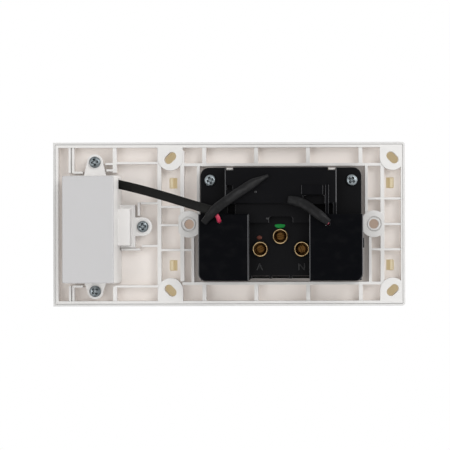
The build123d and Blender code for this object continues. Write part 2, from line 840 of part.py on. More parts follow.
# Feed strip from the active terminal to both fixed contacts, on the same level
blade_on = math.radians(-arm_rest)
contact_front = arm_pivot - (arm_offset - rivet_height) * math.cos(blade_on) - rivet_reach * math.sin(blade_on)
contact_front += contact_gap
contact_z = switch_z + rivet_reach
with BuildPart() as active_bar:
    with BuildSketch(across(active_level + strip)):
        half = strip_width / 2
        span(switch_places[0] - half, switch_places[1] + half, contact_z - half, contact_z + 0.9)
        span(terminal_x - half, terminal_x + half, terminal_z, contact_z)
        with Locations((terminal_x, terminal_z)):
            Circle(tube_radius)
    extrude(amount=strip)
keep(active_bar.part, "active_bar", "goldenrod")

with BuildPart() as fixed_contacts:
    with BuildSketch(across(active_level)):
        for x in switch_places:
            with Locations((x, contact_z)):
                Circle(rivet_radius)
    extrude(amount=active_level - contact_front, taper=12)
keep(fixed_contacts.part, "fixed_contacts", "silver")

# Neutral strip with two clips and its terminal pad
with BuildPart() as neutral_bar:
    with BuildSketch(across(neutral_level + strip)):
        left_clip = socket_places[0] + live_x
        right_clip = socket_places[1] + live_x
        clip_z = socket_z + live_z
        span(left_clip - 0.9, right_clip + 0.9, neutral_line - 0.9, neutral_line + 0.9)
        for x in (left_clip, right_clip):
            span(x - 0.9, x + 0.9, clip_z + leaf_length / 2 - 1.0, neutral_line)
        span(-terminal_x - 1.3, -terminal_x + 1.3, terminal_z, neutral_line)
        with Locations((-terminal_x, terminal_z)):
            Circle(tube_radius)
    extrude(amount=strip)
    for x in (left_clip, right_clip):
        clip(x, clip_z, live_tilt, neutral_level)
keep(neutral_bar.part, "neutral_bar", "goldenrod")

# Earth strip with two clips and its terminal pad
with BuildPart() as earth_bar:
    earth_line = socket_z - earth_drop
    with BuildSketch(across(earth_level + strip)):
        span(socket_places[0] + leaf_gap + 0.5, socket_places[1] - leaf_gap - 0.5, earth_line - 1.3, earth_line + 1.3)
        span(earth_terminal_x - 1.6, earth_terminal_x + 1.6, earth_line, earth_terminal_z)
        with Locations((earth_terminal_x, earth_terminal_z)):
            Circle(tube_radius)
    extrude(amount=strip)
    for x in socket_places:
        clip(x, earth_line, 0, earth_level)
keep(earth_bar.part, "earth_bar", "goldenrod")

# Terminal tubes: a bore for the screw from behind and a cross hole for the wire from below
levels = (active_level, neutral_level, earth_level)
for name, (x, z), level in zip(("active", "neutral", "earth"), tube_places, levels):
    with BuildPart() as tube:
        with BuildSketch(across(tube_back)):
            with Locations((x, z)):
                Circle(tube_radius)
        extrude(amount=tube_back - level - strip)
        chamfer(tube.faces().sort_by(Axis.Y)[-1].edges(), 0.25)
        with BuildSketch(across(tube_back)):
            with Locations((x, z)):
                Circle(tube_bore)
        extrude(amount=tube_back - wire_level + wire_hole / 2, mode=Mode.SUBTRACT)
        chamfer(tube.faces().sort_by(Axis.Y)[-1].edges().sort_by(SortBy.RADIUS)[0], tube_mouth)
        with BuildSketch(Plane.XY.offset(z)):
            with Locations((x, wire_level)):
                Circle(wire_hole)
        extrude(amount=-tube_radius - 1, mode=Mode.SUBTRACT)
    keep(tube.part, f"{name}_terminal", "gold")

with BuildPart() as terminal_screws:
    for place in tube_places:
        with BuildSketch(across(terminal_screw_back)):
            with Locations(place):
                Circle(terminal_screw_radius)
        extrude(amount=terminal_screw_length)
    with BuildSketch(across(terminal_screw_back)):
        for (x, z), turn in zip(tube_places, (25, -70, 10)):
            with Locations((x, z)):
                Rectangle(2 * terminal_screw_radius + 1, slot_cut, rotation=turn)
    extrude(amount=0.9, mode=Mode.SUBTRACT)
keep(terminal_screws.part, "terminal_screws", "gold")


def cross_screws(places, back, head, head_height, shank, tip, turns):
    """Return a group of pan-head cross-recess screws at the given places, driven from behind."""
    with BuildPart() as screws:
        with BuildSketch(across(back)):
            with Locations(*places):
                Circle(shank)
        extrude(amount=back - tip)
        with BuildSketch(across(back + head_height)):
            with Locations(*places):
                Circle(head)
        extrude(amount=head_height)
        chamfer(screws.faces().filter_by(Axis.Y).group_by(Axis.Y)[-1].edges(), head_height * 0.5, head_height * 0.35)
        with BuildSketch(across(back + head_height)):
            for place, turn in zip(places, turns):
                with Locations(place):
                    Rectangle(head, head * 0.26, rotation=turn)
                    Rectangle(head * 0.26, head, rotation=turn)
        extrude(amount=head_height * 0.7, mode=Mode.SUBTRACT)
    return screws.part


mechanism_screws = cross_screws(mech_screw_places, land_back, mech_screw_head, mech_screw_head_height,
                                mech_screw_shank, mech_screw_tip, (20, -35))
keep(mechanism_screws, "mechanism_screws", "silver")
usb_case_screws = cross_screws(ear_places, ear_back, usb_screw_head, usb_screw_head_height,
                               usb_screw_shank, ear_back - usb_screw_length, (10, 40, 5))
keep(usb_case_screws, "usb_case_screws", "silver")

# Charger case: deep box, low side box, flange and three ears
with BuildPart() as usb_case:
    with BuildSketch(across(usb_back)) as deep:
        span(usb_left, usb_right, usb_bottom, usb_top)
        fillet(deep.vertices(), 0.6)
    extrude(amount=usb_back - floor_back, taper=-usb_draft)
    fillet(usb_case.faces().sort_by(Axis.Y)[-1].edges(), 0.5)
    with BuildSketch(across(ear_back)):
        for z, edge in ((ear_top_z, usb_top), (ear_bottom_z, usb_bottom)):
            with Locations((ear_x, z)):
                Circle(ear_radius)
            with BuildLine():
                Polyline(
                    (ear_x - ear_radius, z),
                    (ear_x + ear_radius, z),
                    (ear_x + ear_root / 2, edge),
                    (ear_x - ear_root / 2, edge),
                    close=True,
                )
            make_face()
        with Locations((ear_side_x, ear_side_z)):
            Circle(ear_side_radius)
        span(ear_side_x, step_left, ear_side_z - ear_side_radius, ear_side_z + ear_side_radius)
        span(step_left, usb_left, step_bottom, step_top)
    extrude(amount=ear_thickness)
    with BuildSketch(across(ear_back - ear_thickness)):
        span(step_left, usb_left, step_bottom, step_top)
        span(step_left + usb_wall, usb_left, step_bottom + usb_wall, step_top - usb_wall, mode=Mode.SUBTRACT)
    extrude(amount=ear_back - ear_thickness - floor_back)
    with BuildSketch(across(step_box_back)):
        span(step_box_left, usb_left + 0.5, step_box_bottom, step_box_top)
    extrude(amount=step_box_back - ear_back)
    with BuildSketch(across(step_box_back - usb_wall)):
        span(step_box_left + usb_wall, usb_left + usb_wall, step_box_bottom + usb_wall, step_box_top - usb_wall)
    extrude(amount=step_box_back - usb_wall - floor_back, mode=Mode.SUBTRACT)
    with BuildSketch(across(usb_back - usb_wall)):
        span(usb_left + usb_wall, usb_right - usb_wall, usb_bottom + usb_wall, usb_top - usb_wall)
    extrude(amount=usb_back - usb_wall - floor_back, taper=-usb_draft, mode=Mode.SUBTRACT)
    # corner posts that hold the board down
    with BuildSketch(across(usb_back - 0.5)):
        for x in (usb_left + post, usb_right - post):
            for z in (usb_bottom + post, usb_top - post):
                with Locations((x, z)):
                    Rectangle(2 * post, 2 * post)
    extrude(amount=usb_back - 0.5 - board_back)
    # holes for the ear screws and the lead
    with BuildSketch(across(ear_back)):
        for place in ear_places:
            with Locations(place):
                Circle(usb_screw_shank + screw_slack)
    extrude(amount=ear_thickness, mode=Mode.SUBTRACT)
    with BuildSketch(Plane.YZ.offset(usb_left - 1)):
        with Locations(lead_exit):
            Rectangle(lead_thickness + 0.7, lead_width + 0.5)
    extrude(amount=usb_wall + 1, mode=Mode.SUBTRACT)
keep(usb_case.part, "usb_case", "whitesmoke")

# Charger board and its components
board_left = usb_left + usb_wall + board_gap
board_right = usb_right - usb_wall - board_gap
board_bottom = usb_bottom + usb_wall + board_gap
board_top = usb_top - usb_wall - board_gap
with BuildPart() as usb_board:
    with BuildSketch(across(board_back)):
        span(board_left, board_right, board_bottom, board_top)
    extrude(amount=board_thickness)
keep(usb_board.part, "usb_board", "green")

for name, z in zip(("upper", "lower"), port_places):
    with BuildPart() as shell:
        with BuildSketch(across(board_front)):
            with Locations((port_x, z)):
                RectangleRounded(port_width, port_height, 0.6)
        extrude(amount=board_front - port_front)
        with BuildSketch(across(board_front - 1.2)):
            with Locations((port_x, z)):
                RectangleRounded(port_width - 2 * port_shell, port_height - 2 * port_shell, 0.3)
        extrude(amount=board_front - 1.2 - port_front, mode=Mode.SUBTRACT)
    keep(shell.part, f"usb_port_{name}", "silver")
    with BuildPart() as tongue:
        with BuildSketch(across(board_front - 1.2)):
            with Locations((port_x, z + 0.7)):
                Rectangle(tongue_width, tongue_height)
        extrude(amount=board_front - 1.2 - tongue_front)
        chamfer(tongue.faces().sort_by(Axis.Y)[0].edges(), 0.3)
    keep(tongue.part, f"usb_tongue_{name}", "black")

core_z = usb_bottom + 12.5
core_half_x = 6.0
core_height = 9.4
with BuildPart() as transformer_core:
    with BuildSketch(across(board_back + core_height)):
        span(port_x - core_half_x, port_x + core_half_x, core_z - 6.5, core_z + 6.5)
        for side in (-1, 1):
            with Locations((port_x, core_z + side * 3.2)):
                Rectangle(2 * core_half_x - 4.4, 3.0, mode=Mode.SUBTRACT)
    extrude(amount=core_height)
keep(transformer_core.part, "transformer_core", "dimgray")
with BuildPart() as transformer_coil:
    with BuildSketch(across(board_back + core_height - 1)):
        for side in (-1, 1):
            with Locations((port_x, core_z + side * 3.2)):
                RectangleRounded(2 * core_half_x - 4.8, 2.6, 0.5)
    extrude(amount=core_height - 1)
keep(transformer_coil.part, "transformer_coil", "gold")
with BuildPart() as capacitors:
    for z, radius, height in ((usb_top - 10.5, 3.4, 10.0), (usb_top - 18.5, 2.6, 8.5)):
        with BuildSketch(across(board_back + height)):
            with Locations((port_x - 4.2, z)):
                Circle(radius)
        extrude(amount=height)
    chamfer(capacitors.faces().filter_by(Axis.Y).sort_by(Axis.Y)[-2:].edges(), 0.3)
keep(capacitors.part, "capacitors", "steelblue")


def flattened(points, widths, heights):
    """Return a solid through flattened sections, each across the line from its neighbours, like a pressed sleeve."""
    with BuildPart() as body:
        for i, (x, y, z) in enumerate(points):
            before = Vector(*points[max(i - 1, 0)])
            after = Vector(*points[min(i + 1, len(points) - 1)])
            ahead = (after - before).normalized()
            level = ahead.cross(Vector(0, 1, 0)).normalized()
            with BuildSketch(Plane(origin=(x, y, z), x_dir=level, z_dir=ahead)):
                Ellipse(widths[i] / 2, heights[i] / 2)
        loft(ruled=True)
    return body.part


# Flat supply lead from the charger to the mechanism, straight, then down to the housing
lead_start = (usb_left + 0.6, *lead_exit)
lead_end = (29.0, lower_back + lead_thickness / 2 + 1.4, 5.6)
with BuildPart() as supply_lead:
    run = Vector(*lead_end) - Vector(*lead_start)
    ahead = run.normalized()
    level = ahead.cross(Vector(0, 1, 0)).normalized()
    with BuildSketch(Plane(origin=lead_start, x_dir=level, z_dir=ahead)):
        RectangleRounded(lead_width, lead_thickness, lead_thickness / 2 - 0.05)
    extrude(amount=run.length)
keep(supply_lead.part, "supply_lead", "gray10")

sleeve_left = flattened(
    ((-3.3, 17.0, 11.2), (-7.5, 17.1, 11.0), (-10.8, 17.5, 9.8), (-16.0, 20.0, 5.2), (-21.4, 20.2, 0.6)),
    (4.2, 4.4, 4.4, 4.2, 3.8),
    (3.2, 3.4, 3.4, 3.2, 2.8),
)
keep(sleeve_left, "sleeve_left", "gray25")
sleeve_right = flattened(
    ((5.4, 16.5, 21.6), (9.5, 17.0, 19.8), (16.5, 19.5, 15.4), (23.5, 22.4, 10.6), (30.0, 23.0, 5.6), (33.8, 20.4, 0.9)),
    (1.8, 3.2, 4.6, 4.6, 4.2, 3.6),
    (1.0, 2.2, 3.2, 3.2, 3.0, 3.0),
)
keep(sleeve_right, "sleeve_right", "gray25")

# Red wire ends that bend down into the housing
red_routes = (
    ("right", ((28.6, 20.7, 4.4), (27.8, 20.9, 3.4), (27.4, 20.2, 2.3), (27.3, 18.8, 1.5), (27.3, 16.8, 1.4))),
    ("left", ((-21.3, 18.6, 0.3), (-21.2, 17.8, 0.2), (-21.0, 16.8, 0.2))),
)
for side, route in red_routes:
    size = (2 * red_wire_radius,) * len(route)
    keep(flattened(route, size, size), f"red_wire_{side}", "red")
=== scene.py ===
"""The looks of a double power outlet with USB ports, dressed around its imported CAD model.

The view is from behind, as the photograph shows it: +Z is up, the room is on the -Y side and the wall plane is
y = 0. Blender's metres are used, and sizes are written in millimetres times MM.
"""

import logging
import math
from dataclasses import dataclass
from enum import Enum
from typing import Callable, Sequence, Union

import bpy
from mathutils import Matrix, Vector


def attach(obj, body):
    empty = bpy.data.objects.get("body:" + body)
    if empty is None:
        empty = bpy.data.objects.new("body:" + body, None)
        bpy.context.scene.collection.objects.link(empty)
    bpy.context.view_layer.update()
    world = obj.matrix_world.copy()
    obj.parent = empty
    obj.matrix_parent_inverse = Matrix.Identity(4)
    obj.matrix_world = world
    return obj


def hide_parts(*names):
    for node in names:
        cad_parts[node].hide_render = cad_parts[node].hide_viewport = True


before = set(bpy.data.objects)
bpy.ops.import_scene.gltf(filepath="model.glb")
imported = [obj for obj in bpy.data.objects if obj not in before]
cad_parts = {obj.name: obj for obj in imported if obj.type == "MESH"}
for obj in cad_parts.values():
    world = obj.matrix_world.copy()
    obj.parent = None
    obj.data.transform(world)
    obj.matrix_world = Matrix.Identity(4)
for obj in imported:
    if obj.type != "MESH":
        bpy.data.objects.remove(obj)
log = logging.getLogger("outlet")

MM = 0.001
OUT_OF_REACH = 900 * MM  # beyond every part of the object
SHARP_EDGE = math.radians(40)
SPOKES = 48  # corners round a turned form
RAYS = 6  # samples for rounded edges and for corners
Pair = tuple[float, float]
Colour = tuple[float, float, float]
Place = tuple[float, float, float]
Height = Callable[[float, float], float]
UNLIT: Colour = (0.0, 0.0, 0.0)


class Body(Enum):
    """The CAD body that the added pieces ride on. Every CAD node rides on its own."""

    HOUSING = "housing"


class Socket(Enum):
    """The kinds of named input that a geometry recipe takes."""

    SIZE = "NodeSocketFloat"
    COUNT = "NodeSocketInt"
    SHAPE = "NodeSocketGeometry"


class Recess(Enum):
    """The driver recess in a screw head."""

    CROSS = "cross"
    SLOT = "slot"


class Value:
    """One output of a node. Its operators add Math nodes to the same tree."""

    def __init__(self, graph: "Graph", socket: bpy.types.NodeSocket) -> None:
        """Wrap a socket.

        Args:
            graph: The tree the socket belongs to.
            socket: The output socket.
        """
        self.graph = graph
        self.socket = socket

    def _math(self, operation: str, *operands: "Operand") -> "Value":
        """Return the result of a Math node."""
        return self.graph.add("ShaderNodeMath", {"operation": operation}, dict(enumerate(operands)))

    def __add__(self, other: "Operand") -> "Value":
        """Return self + other."""
        return self._math("ADD", self, other)

    __radd__ = __add__

    def __sub__(self, other: "Operand") -> "Value":
        """Return self - other."""
        return self._math("SUBTRACT", self, other)

    def __rsub__(self, other: "Operand") -> "Value":
        """Return other - self."""
        return self._math("SUBTRACT", other, self)

    def __mul__(self, other: "Operand") -> "Value":
        """Return self * other."""
        return self._math("MULTIPLY", self, other)

    __rmul__ = __mul__

    def __pow__(self, other: "Operand") -> "Value":
        """Return self to the power of other."""
        return self._math("POWER", self, other)

    def __abs__(self) -> "Value":
        """Return the size of self."""
        return self._math("ABSOLUTE", self)

    def sign(self) -> "Value":
        """Return -1, 0 or 1."""
        return self._math("SIGN", self)

    def between(self, low: "Operand", high: "Operand", start: "Operand" = 0.0, end: "Operand" = 1.0) -> "Value":
        """Return start below low, end above high and a smooth change between them.

        Args:
            low: The value that gives start.
            high: The value that gives end.
            start: The result at low.
            end: The result at high.

        Returns:
            The eased value.
        """
        return self.graph.add(
            "ShaderNodeMapRange",
            {"interpolation_type": "SMOOTHSTEP"},
            {"Value": self, "From Min": low, "From Max": high, "To Min": start, "To Max": end},
        )


Operand = Union[Value, float]


class Graph:
    """A node tree that is built by adding nodes."""

    def __init__(self, tree: bpy.types.NodeTree) -> None:
        """Wrap a tree.

        Args:
            tree: The node tree to add to.
        """
        self.tree = tree

    def add(
        self,
        kind: str,
        settings: dict[str, object] | None = None,
        inputs: dict[object, object] | None = None,
        output: int | str | None = 0,
    ) -> Value | None:
        """Add one node.

        Args:
            kind: The node's type.
            settings: The node's properties. "items" gives the count of a switch's places.
            inputs: Values or links, by the input's index or name.
            output: The output to return, by index or name, or None at the end of a tree.

        Returns:
            The chosen output.
        """
        node = self.tree.nodes.new(kind)
        for name, setting in (settings or {}).items():
            if name == "items":
                while len(node.index_switch_items) < setting:
                    node.index_switch_items.new()
            else:
                setattr(node, name, setting)
        for key, given in (inputs or {}).items():
            if isinstance(given, Value):
                self.tree.links.new(given.socket, node.inputs[key])
            else:
                node.inputs[key].default_value = given
        return None if output is None else Value(self, node.outputs[output])


class Shader(Graph):
    """A material's node tree with one Principled surface."""

    def __init__(self, name: str) -> None:
        """Start a material.

        Args:
            name: The material's name.
        """
        self.material = bpy.data.materials.new(name)
        self.material.use_nodes = True
        super().__init__(self.material.node_tree)
        self.tree.nodes.clear()
        self.place = self.add("ShaderNodeTexCoord", output="Object")

    def noise(self, size: float, detail: float, stretch: Place = (1.0, 1.0, 1.0)) -> Value:
        """Return noise about 0.5.

        Args:
            size: The size of a patch, in metres.
            detail: The number of octaves.
            stretch: How much each axis is stretched.

        Returns:
            The noise value.
        """
        mapped = self.add(
            "ShaderNodeMapping",
            {"vector_type": "POINT"},
            {"Vector": self.place, "Scale": tuple(1 / s for s in stretch)},
        )
        return self.add("ShaderNodeTexNoise", None, {"Vector": mapped, "Scale": 1 / size, "Detail": detail})

    def along(self, axis: str) -> Value:
        """Return the place along X, Y or Z, in metres."""
        return self.add("ShaderNodeSeparateXYZ", None, {0: self.place}, output=axis)

    def depth(self, far: float, near: float) -> Value:
        """Return 0 below far and 1 above near, along Y and in metres."""
        return self.along("Y").between(far, near)

    def mixed(self, share: Operand, first: object, second: object) -> Value:
        """Return a colour between two.

        Args:
            share: The share of the second colour.
            first: A colour or a colour output.
            second: A colour or a colour output.

        Returns:
            The mixed colour.
        """
        pair = [c if isinstance(c, Value) else (*c, 1.0) for c in (first, second)]
        return self.add("ShaderNodeMix", {"data_type": "RGBA"}, {0: share, 6: pair[0], 7: pair[1]}, output=2)

    def rounded(self, radius: float) -> Value:
        """Return a normal that rounds the edges by a radius in metres."""
        return self.add("ShaderNodeBevel", {"samples": RAYS}, {"Radius": radius})

    def sideways(self, radius: float, across: Pair = (0.15, 0.5), back: Pair = (0.1, 0.35)) -> Value:
        """Find where a face towards the front or back rounds over to the left or right.

        Args:
            radius: The edges' radius, in metres.
            across: The sizes of the normal's X between which the result rises.
            back: The same for its Y.

        Returns:
            1 on such edges, which take a painted highlight, and 0 elsewhere.
        """
        normal = self.rounded(radius)
        x, y = (abs(self.add("ShaderNodeSeparateXYZ", None, {0: normal}, axis)) for axis in "XY")
        return x.between(*across) * y.between(*back)

    def crevice(self, reach: float) -> Value:
        """Return 1 on open faces and less in corners and recesses within a reach in metres."""
        settings = {"samples": RAYS, "only_local": True}
        return self.add("ShaderNodeAmbientOcclusion", settings, {"Distance": reach}, "AO")

    def bump(self, height: Value, depth: float, under: Value | None = None) -> Value:
        """Return a normal that follows a height.

        Args:
            height: The height, from 0 to 1.
            depth: The real depth of that range, in metres.
            under: A normal to start from.

        Returns:
            The bent normal.
        """
        inputs: dict[object, object] = {"Height": height, "Distance": depth, "Strength": 1.0}
        if under is not None:
            inputs["Normal"] = under
        return self.add("ShaderNodeBump", None, inputs)

    def surface(self, **inputs: object) -> bpy.types.Material:
        """End the tree with a Principled surface.

        Args:
            inputs: Socket values, with underscores for spaces.

        Returns:
            The finished material.
        """
        named = {name.replace("_", " "): value for name, value in inputs.items()}
        shade = self.add("ShaderNodeBsdfPrincipled", None, named)
        self.add("ShaderNodeOutputMaterial", None, {"Surface": shade}, output=None)
        return self.material


@dataclass(frozen=True)
class Patches:
    """Noise in patches of one size, eased from 0 at its low value to 1 at its high one."""

    size: float
    detail: float
    low: float
    high: float
    stretch: Place = (1.0, 1.0, 1.0)

    def on(self, s: Shader) -> Value:
        """Return the patches on a material, from 0 to 1."""
        return s.noise(self.size, self.detail, self.stretch).between(self.low, self.high)


@dataclass(frozen=True)
class Moulding:
    """A white moulded plastic with faint flow marks, and a painted tone where it lies deep: painted light and shade
    in its pockets and on its walls.
    """

    name: str
    colour: Colour
    deep: Colour
    near: float = 0.0
    far: float = -6.0 * MM
    roughness: float = 0.42
    sheen_size: float = 12 * MM
    sheen_spread: float = 0.12
    grain: float = 0.35 * MM
    grain_depth: float = 0.004 * MM
    grain_spread: float = 0.06
    specular: float = 0.4
    edge: float = 0.22 * MM
    clouds: Patches = Patches(9 * MM, 4, 0.35, 0.8)
    cloud: Colour = (0.42, 0.4, 0.37)
    cloud_share: float = 0.06

    def _body(self, s: Shader) -> Value:
        """Return the colour with its painted light and shade in depth and its flow marks."""
        # Painted light and shade: the colour moves to the deep tone where the moulding lies deep.
        body = s.mixed(s.depth(self.far, self.near), self.deep, self.colour)
        return s.mixed(self.clouds.on(s) * self.cloud_share, body, self.cloud)

    def _light(self, s: Shader) -> dict[str, object]:
        """Return the inputs for a painted glow: none, because this plastic is thick."""
        return {}

    def material(self) -> bpy.types.Material:
        """Make the finish.

        Returns:
            The material: flow marks, fine grain, rounded edges and a colour that changes with depth, which is painted
                light and shade.
        """
        s = Shader(self.name)
        sheen = s.noise(self.sheen_size, 3)
        grain = s.noise(self.grain, 2)
        return s.surface(
            Base_Color=self._body(s),
            Roughness=self.roughness + (sheen - 0.5) * self.sheen_spread + (grain - 0.5) * self.grain_spread,
            Normal=s.bump(grain, self.grain_depth, s.rounded(self.edge)),
            Specular_IOR_Level=self.specular,
            **self._light(s),
        )


@dataclass(frozen=True)
class ThinMoulding(Moulding):
    """A moulding whose deep floors glow a little: painted light."""

    through: Colour = UNLIT

    def _glow(self, s: Shader) -> Value:
        """Return the colour of the painted glow in the deep floors."""
        # Painted light: the deep floors glow in the through colour, although they are no lamp.
        return s.mixed(s.depth(self.far, self.near), self.through, UNLIT)

    def _light(self, s: Shader) -> dict[str, object]:
        """Return the inputs for the painted glow."""
        return {"Emission_Color": self._glow(s), "Emission_Strength": 1.0}


@dataclass(frozen=True)
class CoverMoulding(ThinMoulding):
    """The front cover's plastic. Its inner face and the bores behind the wall screws are painted a darker ochre with
    a glow: painted shade and painted light for the light that comes through its thin front.
    """

    # Painted shade and painted light: the inner face and its hooks take a darker ochre with a glow, and the bores
    # behind the wall screws take the bore colour with bore_glow.
    inside_painted_shade: Colour = (0.38, 0.36, 0.28)
    inside_glow: Colour = (0.29, 0.225, 0.125)
    bore: Colour = (0.45, 0.39, 0.32)
    bore_glow: Colour = (0.21, 0.165, 0.14)
    front: float = -9.3 * MM
    front_soft: float = 0.2 * MM
    tips: float = -4.0 * MM
    tips_soft: float = 0.5 * MM
    centre: float = 23.8 * MM
    half_length: float = 78.4 * MM
    half_height: float = 35.6 * MM
    rim_soft: float = 0.2 * MM
    middle: float = 8 * MM
    middle_soft: float = 0.8 * MM

    def _inner(self, s: Shader) -> Value:
        """Find the cover's inner face and its hooks.

        Args:
            s: The material's tree.

        Returns:
            1 on them and 0 elsewhere.
        """
        above = s.depth(self.front, self.front + self.front_soft)
        below = 1 - s.depth(self.tips, self.tips + self.tips_soft)
        across = abs(s.along("X") - self.centre).between(self.half_length, self.half_length + self.rim_soft)
        up = abs(s.along("Z")).between(self.half_height, self.half_height + self.rim_soft)
        return above * below * (1 - across) * (1 - up)

    def _chosen(self, s: Shader, screws: Colour, windows: Colour) -> Value:
        """Return one colour behind the wall screws in the middle and another behind the windows."""
        return s.mixed(abs(s.along("Z")).between(self.middle, self.middle + self.middle_soft), screws, windows)

    def _body(self, s: Shader) -> Value:
        """Return white outside, and a painted ochre shade on the inner face."""
        return s.mixed(self._inner(s), super()._body(s), self._chosen(s, self.bore, self.inside_painted_shade))

    def _glow(self, s: Shader) -> Value:
        """Return the colour of the painted glow on the inner face and in the bores."""
        return s.mixed(self._inner(s), UNLIT, self._chosen(s, self.bore_glow, self.inside_glow))


@dataclass(frozen=True)
class BlackMoulding:
    """A black thermoset moulding with a satin skin, handling marks, a little pale dust, painted light where it lies
    deep and a painted highlight on edges that turn to the sides.
    """

    name: str
    colour: Colour
    deep: Colour
    near: float = 17.5 * MM
    far: float = 13.5 * MM
    roughness: float = 0.28
    specular: float = 0.03
    edge: float = 0.3 * MM
    edge_highlight: Colour = (0.12, 0.12, 0.125)
    handling: Patches = Patches(6 * MM, 5, 0.45, 0.75, (1.0, 1.0, 0.7))
    handling_share: float = 0.4
    handling_spread: float = 0.12
    dust: Patches = Patches(0.45 * MM, 2, 0.74, 0.82)
    dust_colour: Colour = (0.07, 0.07, 0.07)
    dust_share: float = 0.25
    grain: float = 0.22 * MM
    grain_depth: float = 0.003 * MM
    grain_spread: float = 0.1

    def material(self) -> bpy.types.Material:
        """Make the finish.

        Returns:
            The material: handled patches over a fine grain, specks of dust, a paler tone where it lies deep as
                painted light, and a painted highlight on edges that turn to the sides.
        """
        s = Shader(self.name)
        # Painted light: the colour is paler where it lies deep.
        body = s.mixed(s.depth(self.far, self.near), self.deep, self.colour)
        handled = self.handling.on(s)
        grain = s.noise(self.grain, 3)
        worn = s.mixed(handled * self.handling_share, body, self.deep)
        skin = s.mixed(self.dust.on(s) * self.dust_share, worn, self.dust_colour)
        return s.surface(
            # Painted highlight: edges and walls that turn to the left or right are painted paler.
            Base_Color=s.mixed(s.sideways(self.edge), skin, self.edge_highlight),
            Roughness=self.roughness + handled * self.handling_spread + (grain - 0.5) * self.grain_spread,
            Normal=s.bump(grain, self.grain_depth, s.rounded(self.edge)),
            Specular_IOR_Level=self.specular,
        )


@dataclass(frozen=True)
class Metal:
    """A plain or plated metal with stains and drawn or turned lines, with painted shade where it lies deep and in its
    corners.
    """

    name: str
    colour: Colour
    stain: Colour
    roughness: float = 0.3
    lines: Place = (1.0, 1.0, 1.0)
    line_size: float = 0.15 * MM
    line_depth: float = 0.004 * MM
    line_spread: float = 0.12
    stains: Patches = Patches(2.2 * MM, 5, 0.42, 0.72)
    stain_spread: float = 0.14
    deep: Colour = (0.2, 0.2, 0.2)
    near: float = -OUT_OF_REACH
    far: float = -OUT_OF_REACH - MM
    crevice: float = 0.9 * MM
    open_share: Pair = (0.35, 0.85)
    painted_shade_tone: float = 0.12

    def material(self) -> bpy.types.Material:
        """Make the finish.

        Returns:
            The material: stained patches over fine working lines, with painted shade in the corners and where it lies
                deep.
        """
        s = Shader(self.name)
        stains = self.stains.on(s)
        lines = s.noise(self.line_size, 2, self.lines)
        plain = s.mixed(stains, self.colour, self.stain)
        # Painted shade: corners and recesses are darkened.
        painted_shade = 1 - s.crevice(self.crevice).between(*self.open_share)
        plain = s.mixed(painted_shade, plain, tuple(self.painted_shade_tone * c for c in self.stain))
        return s.surface(
            # Painted shade: the deep tone is painted where the metal lies deep.
            Base_Color=s.mixed(s.depth(self.far, self.near), self.deep, plain),
            Metallic=1.0,
            Roughness=self.roughness + stains * self.stain_spread + (lines - 0.5) * self.line_spread,
            Normal=s.bump(lines, self.line_depth),
        )


@dataclass(frozen=True)
class Tubing:
    """Flexible tube or wire covering with soft wrinkles, scuffed paler in places."""

    name: str
    colour: Colour
    scuff: Colour
    roughness: float = 0.5
    wrinkle: float = 1.1 * MM
    wrinkle_depth: float = 0.05 * MM
    specular: float = 0.35
    wrinkle_spread: float = 0.2
    scuffs: Patches = Patches(1.6 * MM, 5, 0.5, 0.8)
    grain: float = 0.18 * MM
    grain_depth: float = 0.004 * MM

    def material(self) -> bpy.types.Material:
        """Make the finish.

        Returns:
            The material: soft wrinkles, matt grain and scuffs.
        """
        s = Shader(self.name)
        wrinkles = s.noise(self.wrinkle, 3)
        return s.surface(
            Base_Color=s.mixed(self.scuffs.on(s), self.colour, self.scuff),
            Roughness=self.roughness + (wrinkles - 0.5) * self.wrinkle_spread,
            Normal=s.bump(s.noise(self.grain, 2), self.grain_depth, s.bump(wrinkles, self.wrinkle_depth)),
            Specular_IOR_Level=self.specular,
        )


@dataclass(frozen=True)
class Lacquer:
    """The circuit board's lacquer over copper tracks."""

    name: str
    colour: Colour
    track: Colour
    pitch: float = 1.6 * MM
    unevenness: float = 0.4
    track_edge: Pair = (0.3, 0.34)
    track_height: float = 0.03 * MM
    roughness: float = 0.3
    track_spread: float = 0.1
    coat: float = 0.4

    def material(self) -> bpy.types.Material:
        """Make the finish.

        Returns:
            The material: bands of track under a clear coat.
        """
        s = Shader(self.name)
        cells = s.add(
            "ShaderNodeTexVoronoi",
            {"distance": "CHEBYCHEV", "feature": "F1"},
            {"Vector": s.place, "Scale": 1 / self.pitch, "Randomness": self.unevenness},
        )
        tracks = cells.between(*self.track_edge)
        return s.surface(
            Base_Color=s.mixed(tracks, self.colour, self.track),
            Roughness=self.roughness + tracks * self.track_spread,
            Normal=s.bump(tracks, self.track_height),
            Coat_Weight=self.coat,
        )


WHITE_COVER = CoverMoulding("cover white", (0.66, 0.655, 0.645), (0.67, 0.66, 0.645), roughness=0.38)
# Painted light: the frame's deep floors are painted paler and warmer, and glow a little, standing in for the light
# that bounces in its pockets.
WHITE_FRAME = ThinMoulding("frame white", (0.73, 0.72, 0.705), (0.80, 0.755, 0.72), through=(0.055, 0.05, 0.047))
# Painted light and shade: the case's back face is painted darker and its side walls paler, as the light falls on
# them.
WHITE_CASE = Moulding("case white", (0.52, 0.515, 0.52), (0.80, 0.785, 0.77), near=17.6 * MM, far=16.6 * MM)
WHITE_FRONT = Moulding("front white", (0.67, 0.663, 0.65), (0.66, 0.64, 0.62), near=-9 * MM, far=-2 * MM)
ROCKER_WHITE = Moulding("rocker white", (0.7, 0.7, 0.69), (0.68, 0.68, 0.67), roughness=0.22, specular=0.5)
NYLON = Moulding("nylon", (0.66, 0.64, 0.58), (0.62, 0.6, 0.54))
BLACK = BlackMoulding("black moulding", (0.0016, 0.0018, 0.0027), (0.0065, 0.0065, 0.0072))
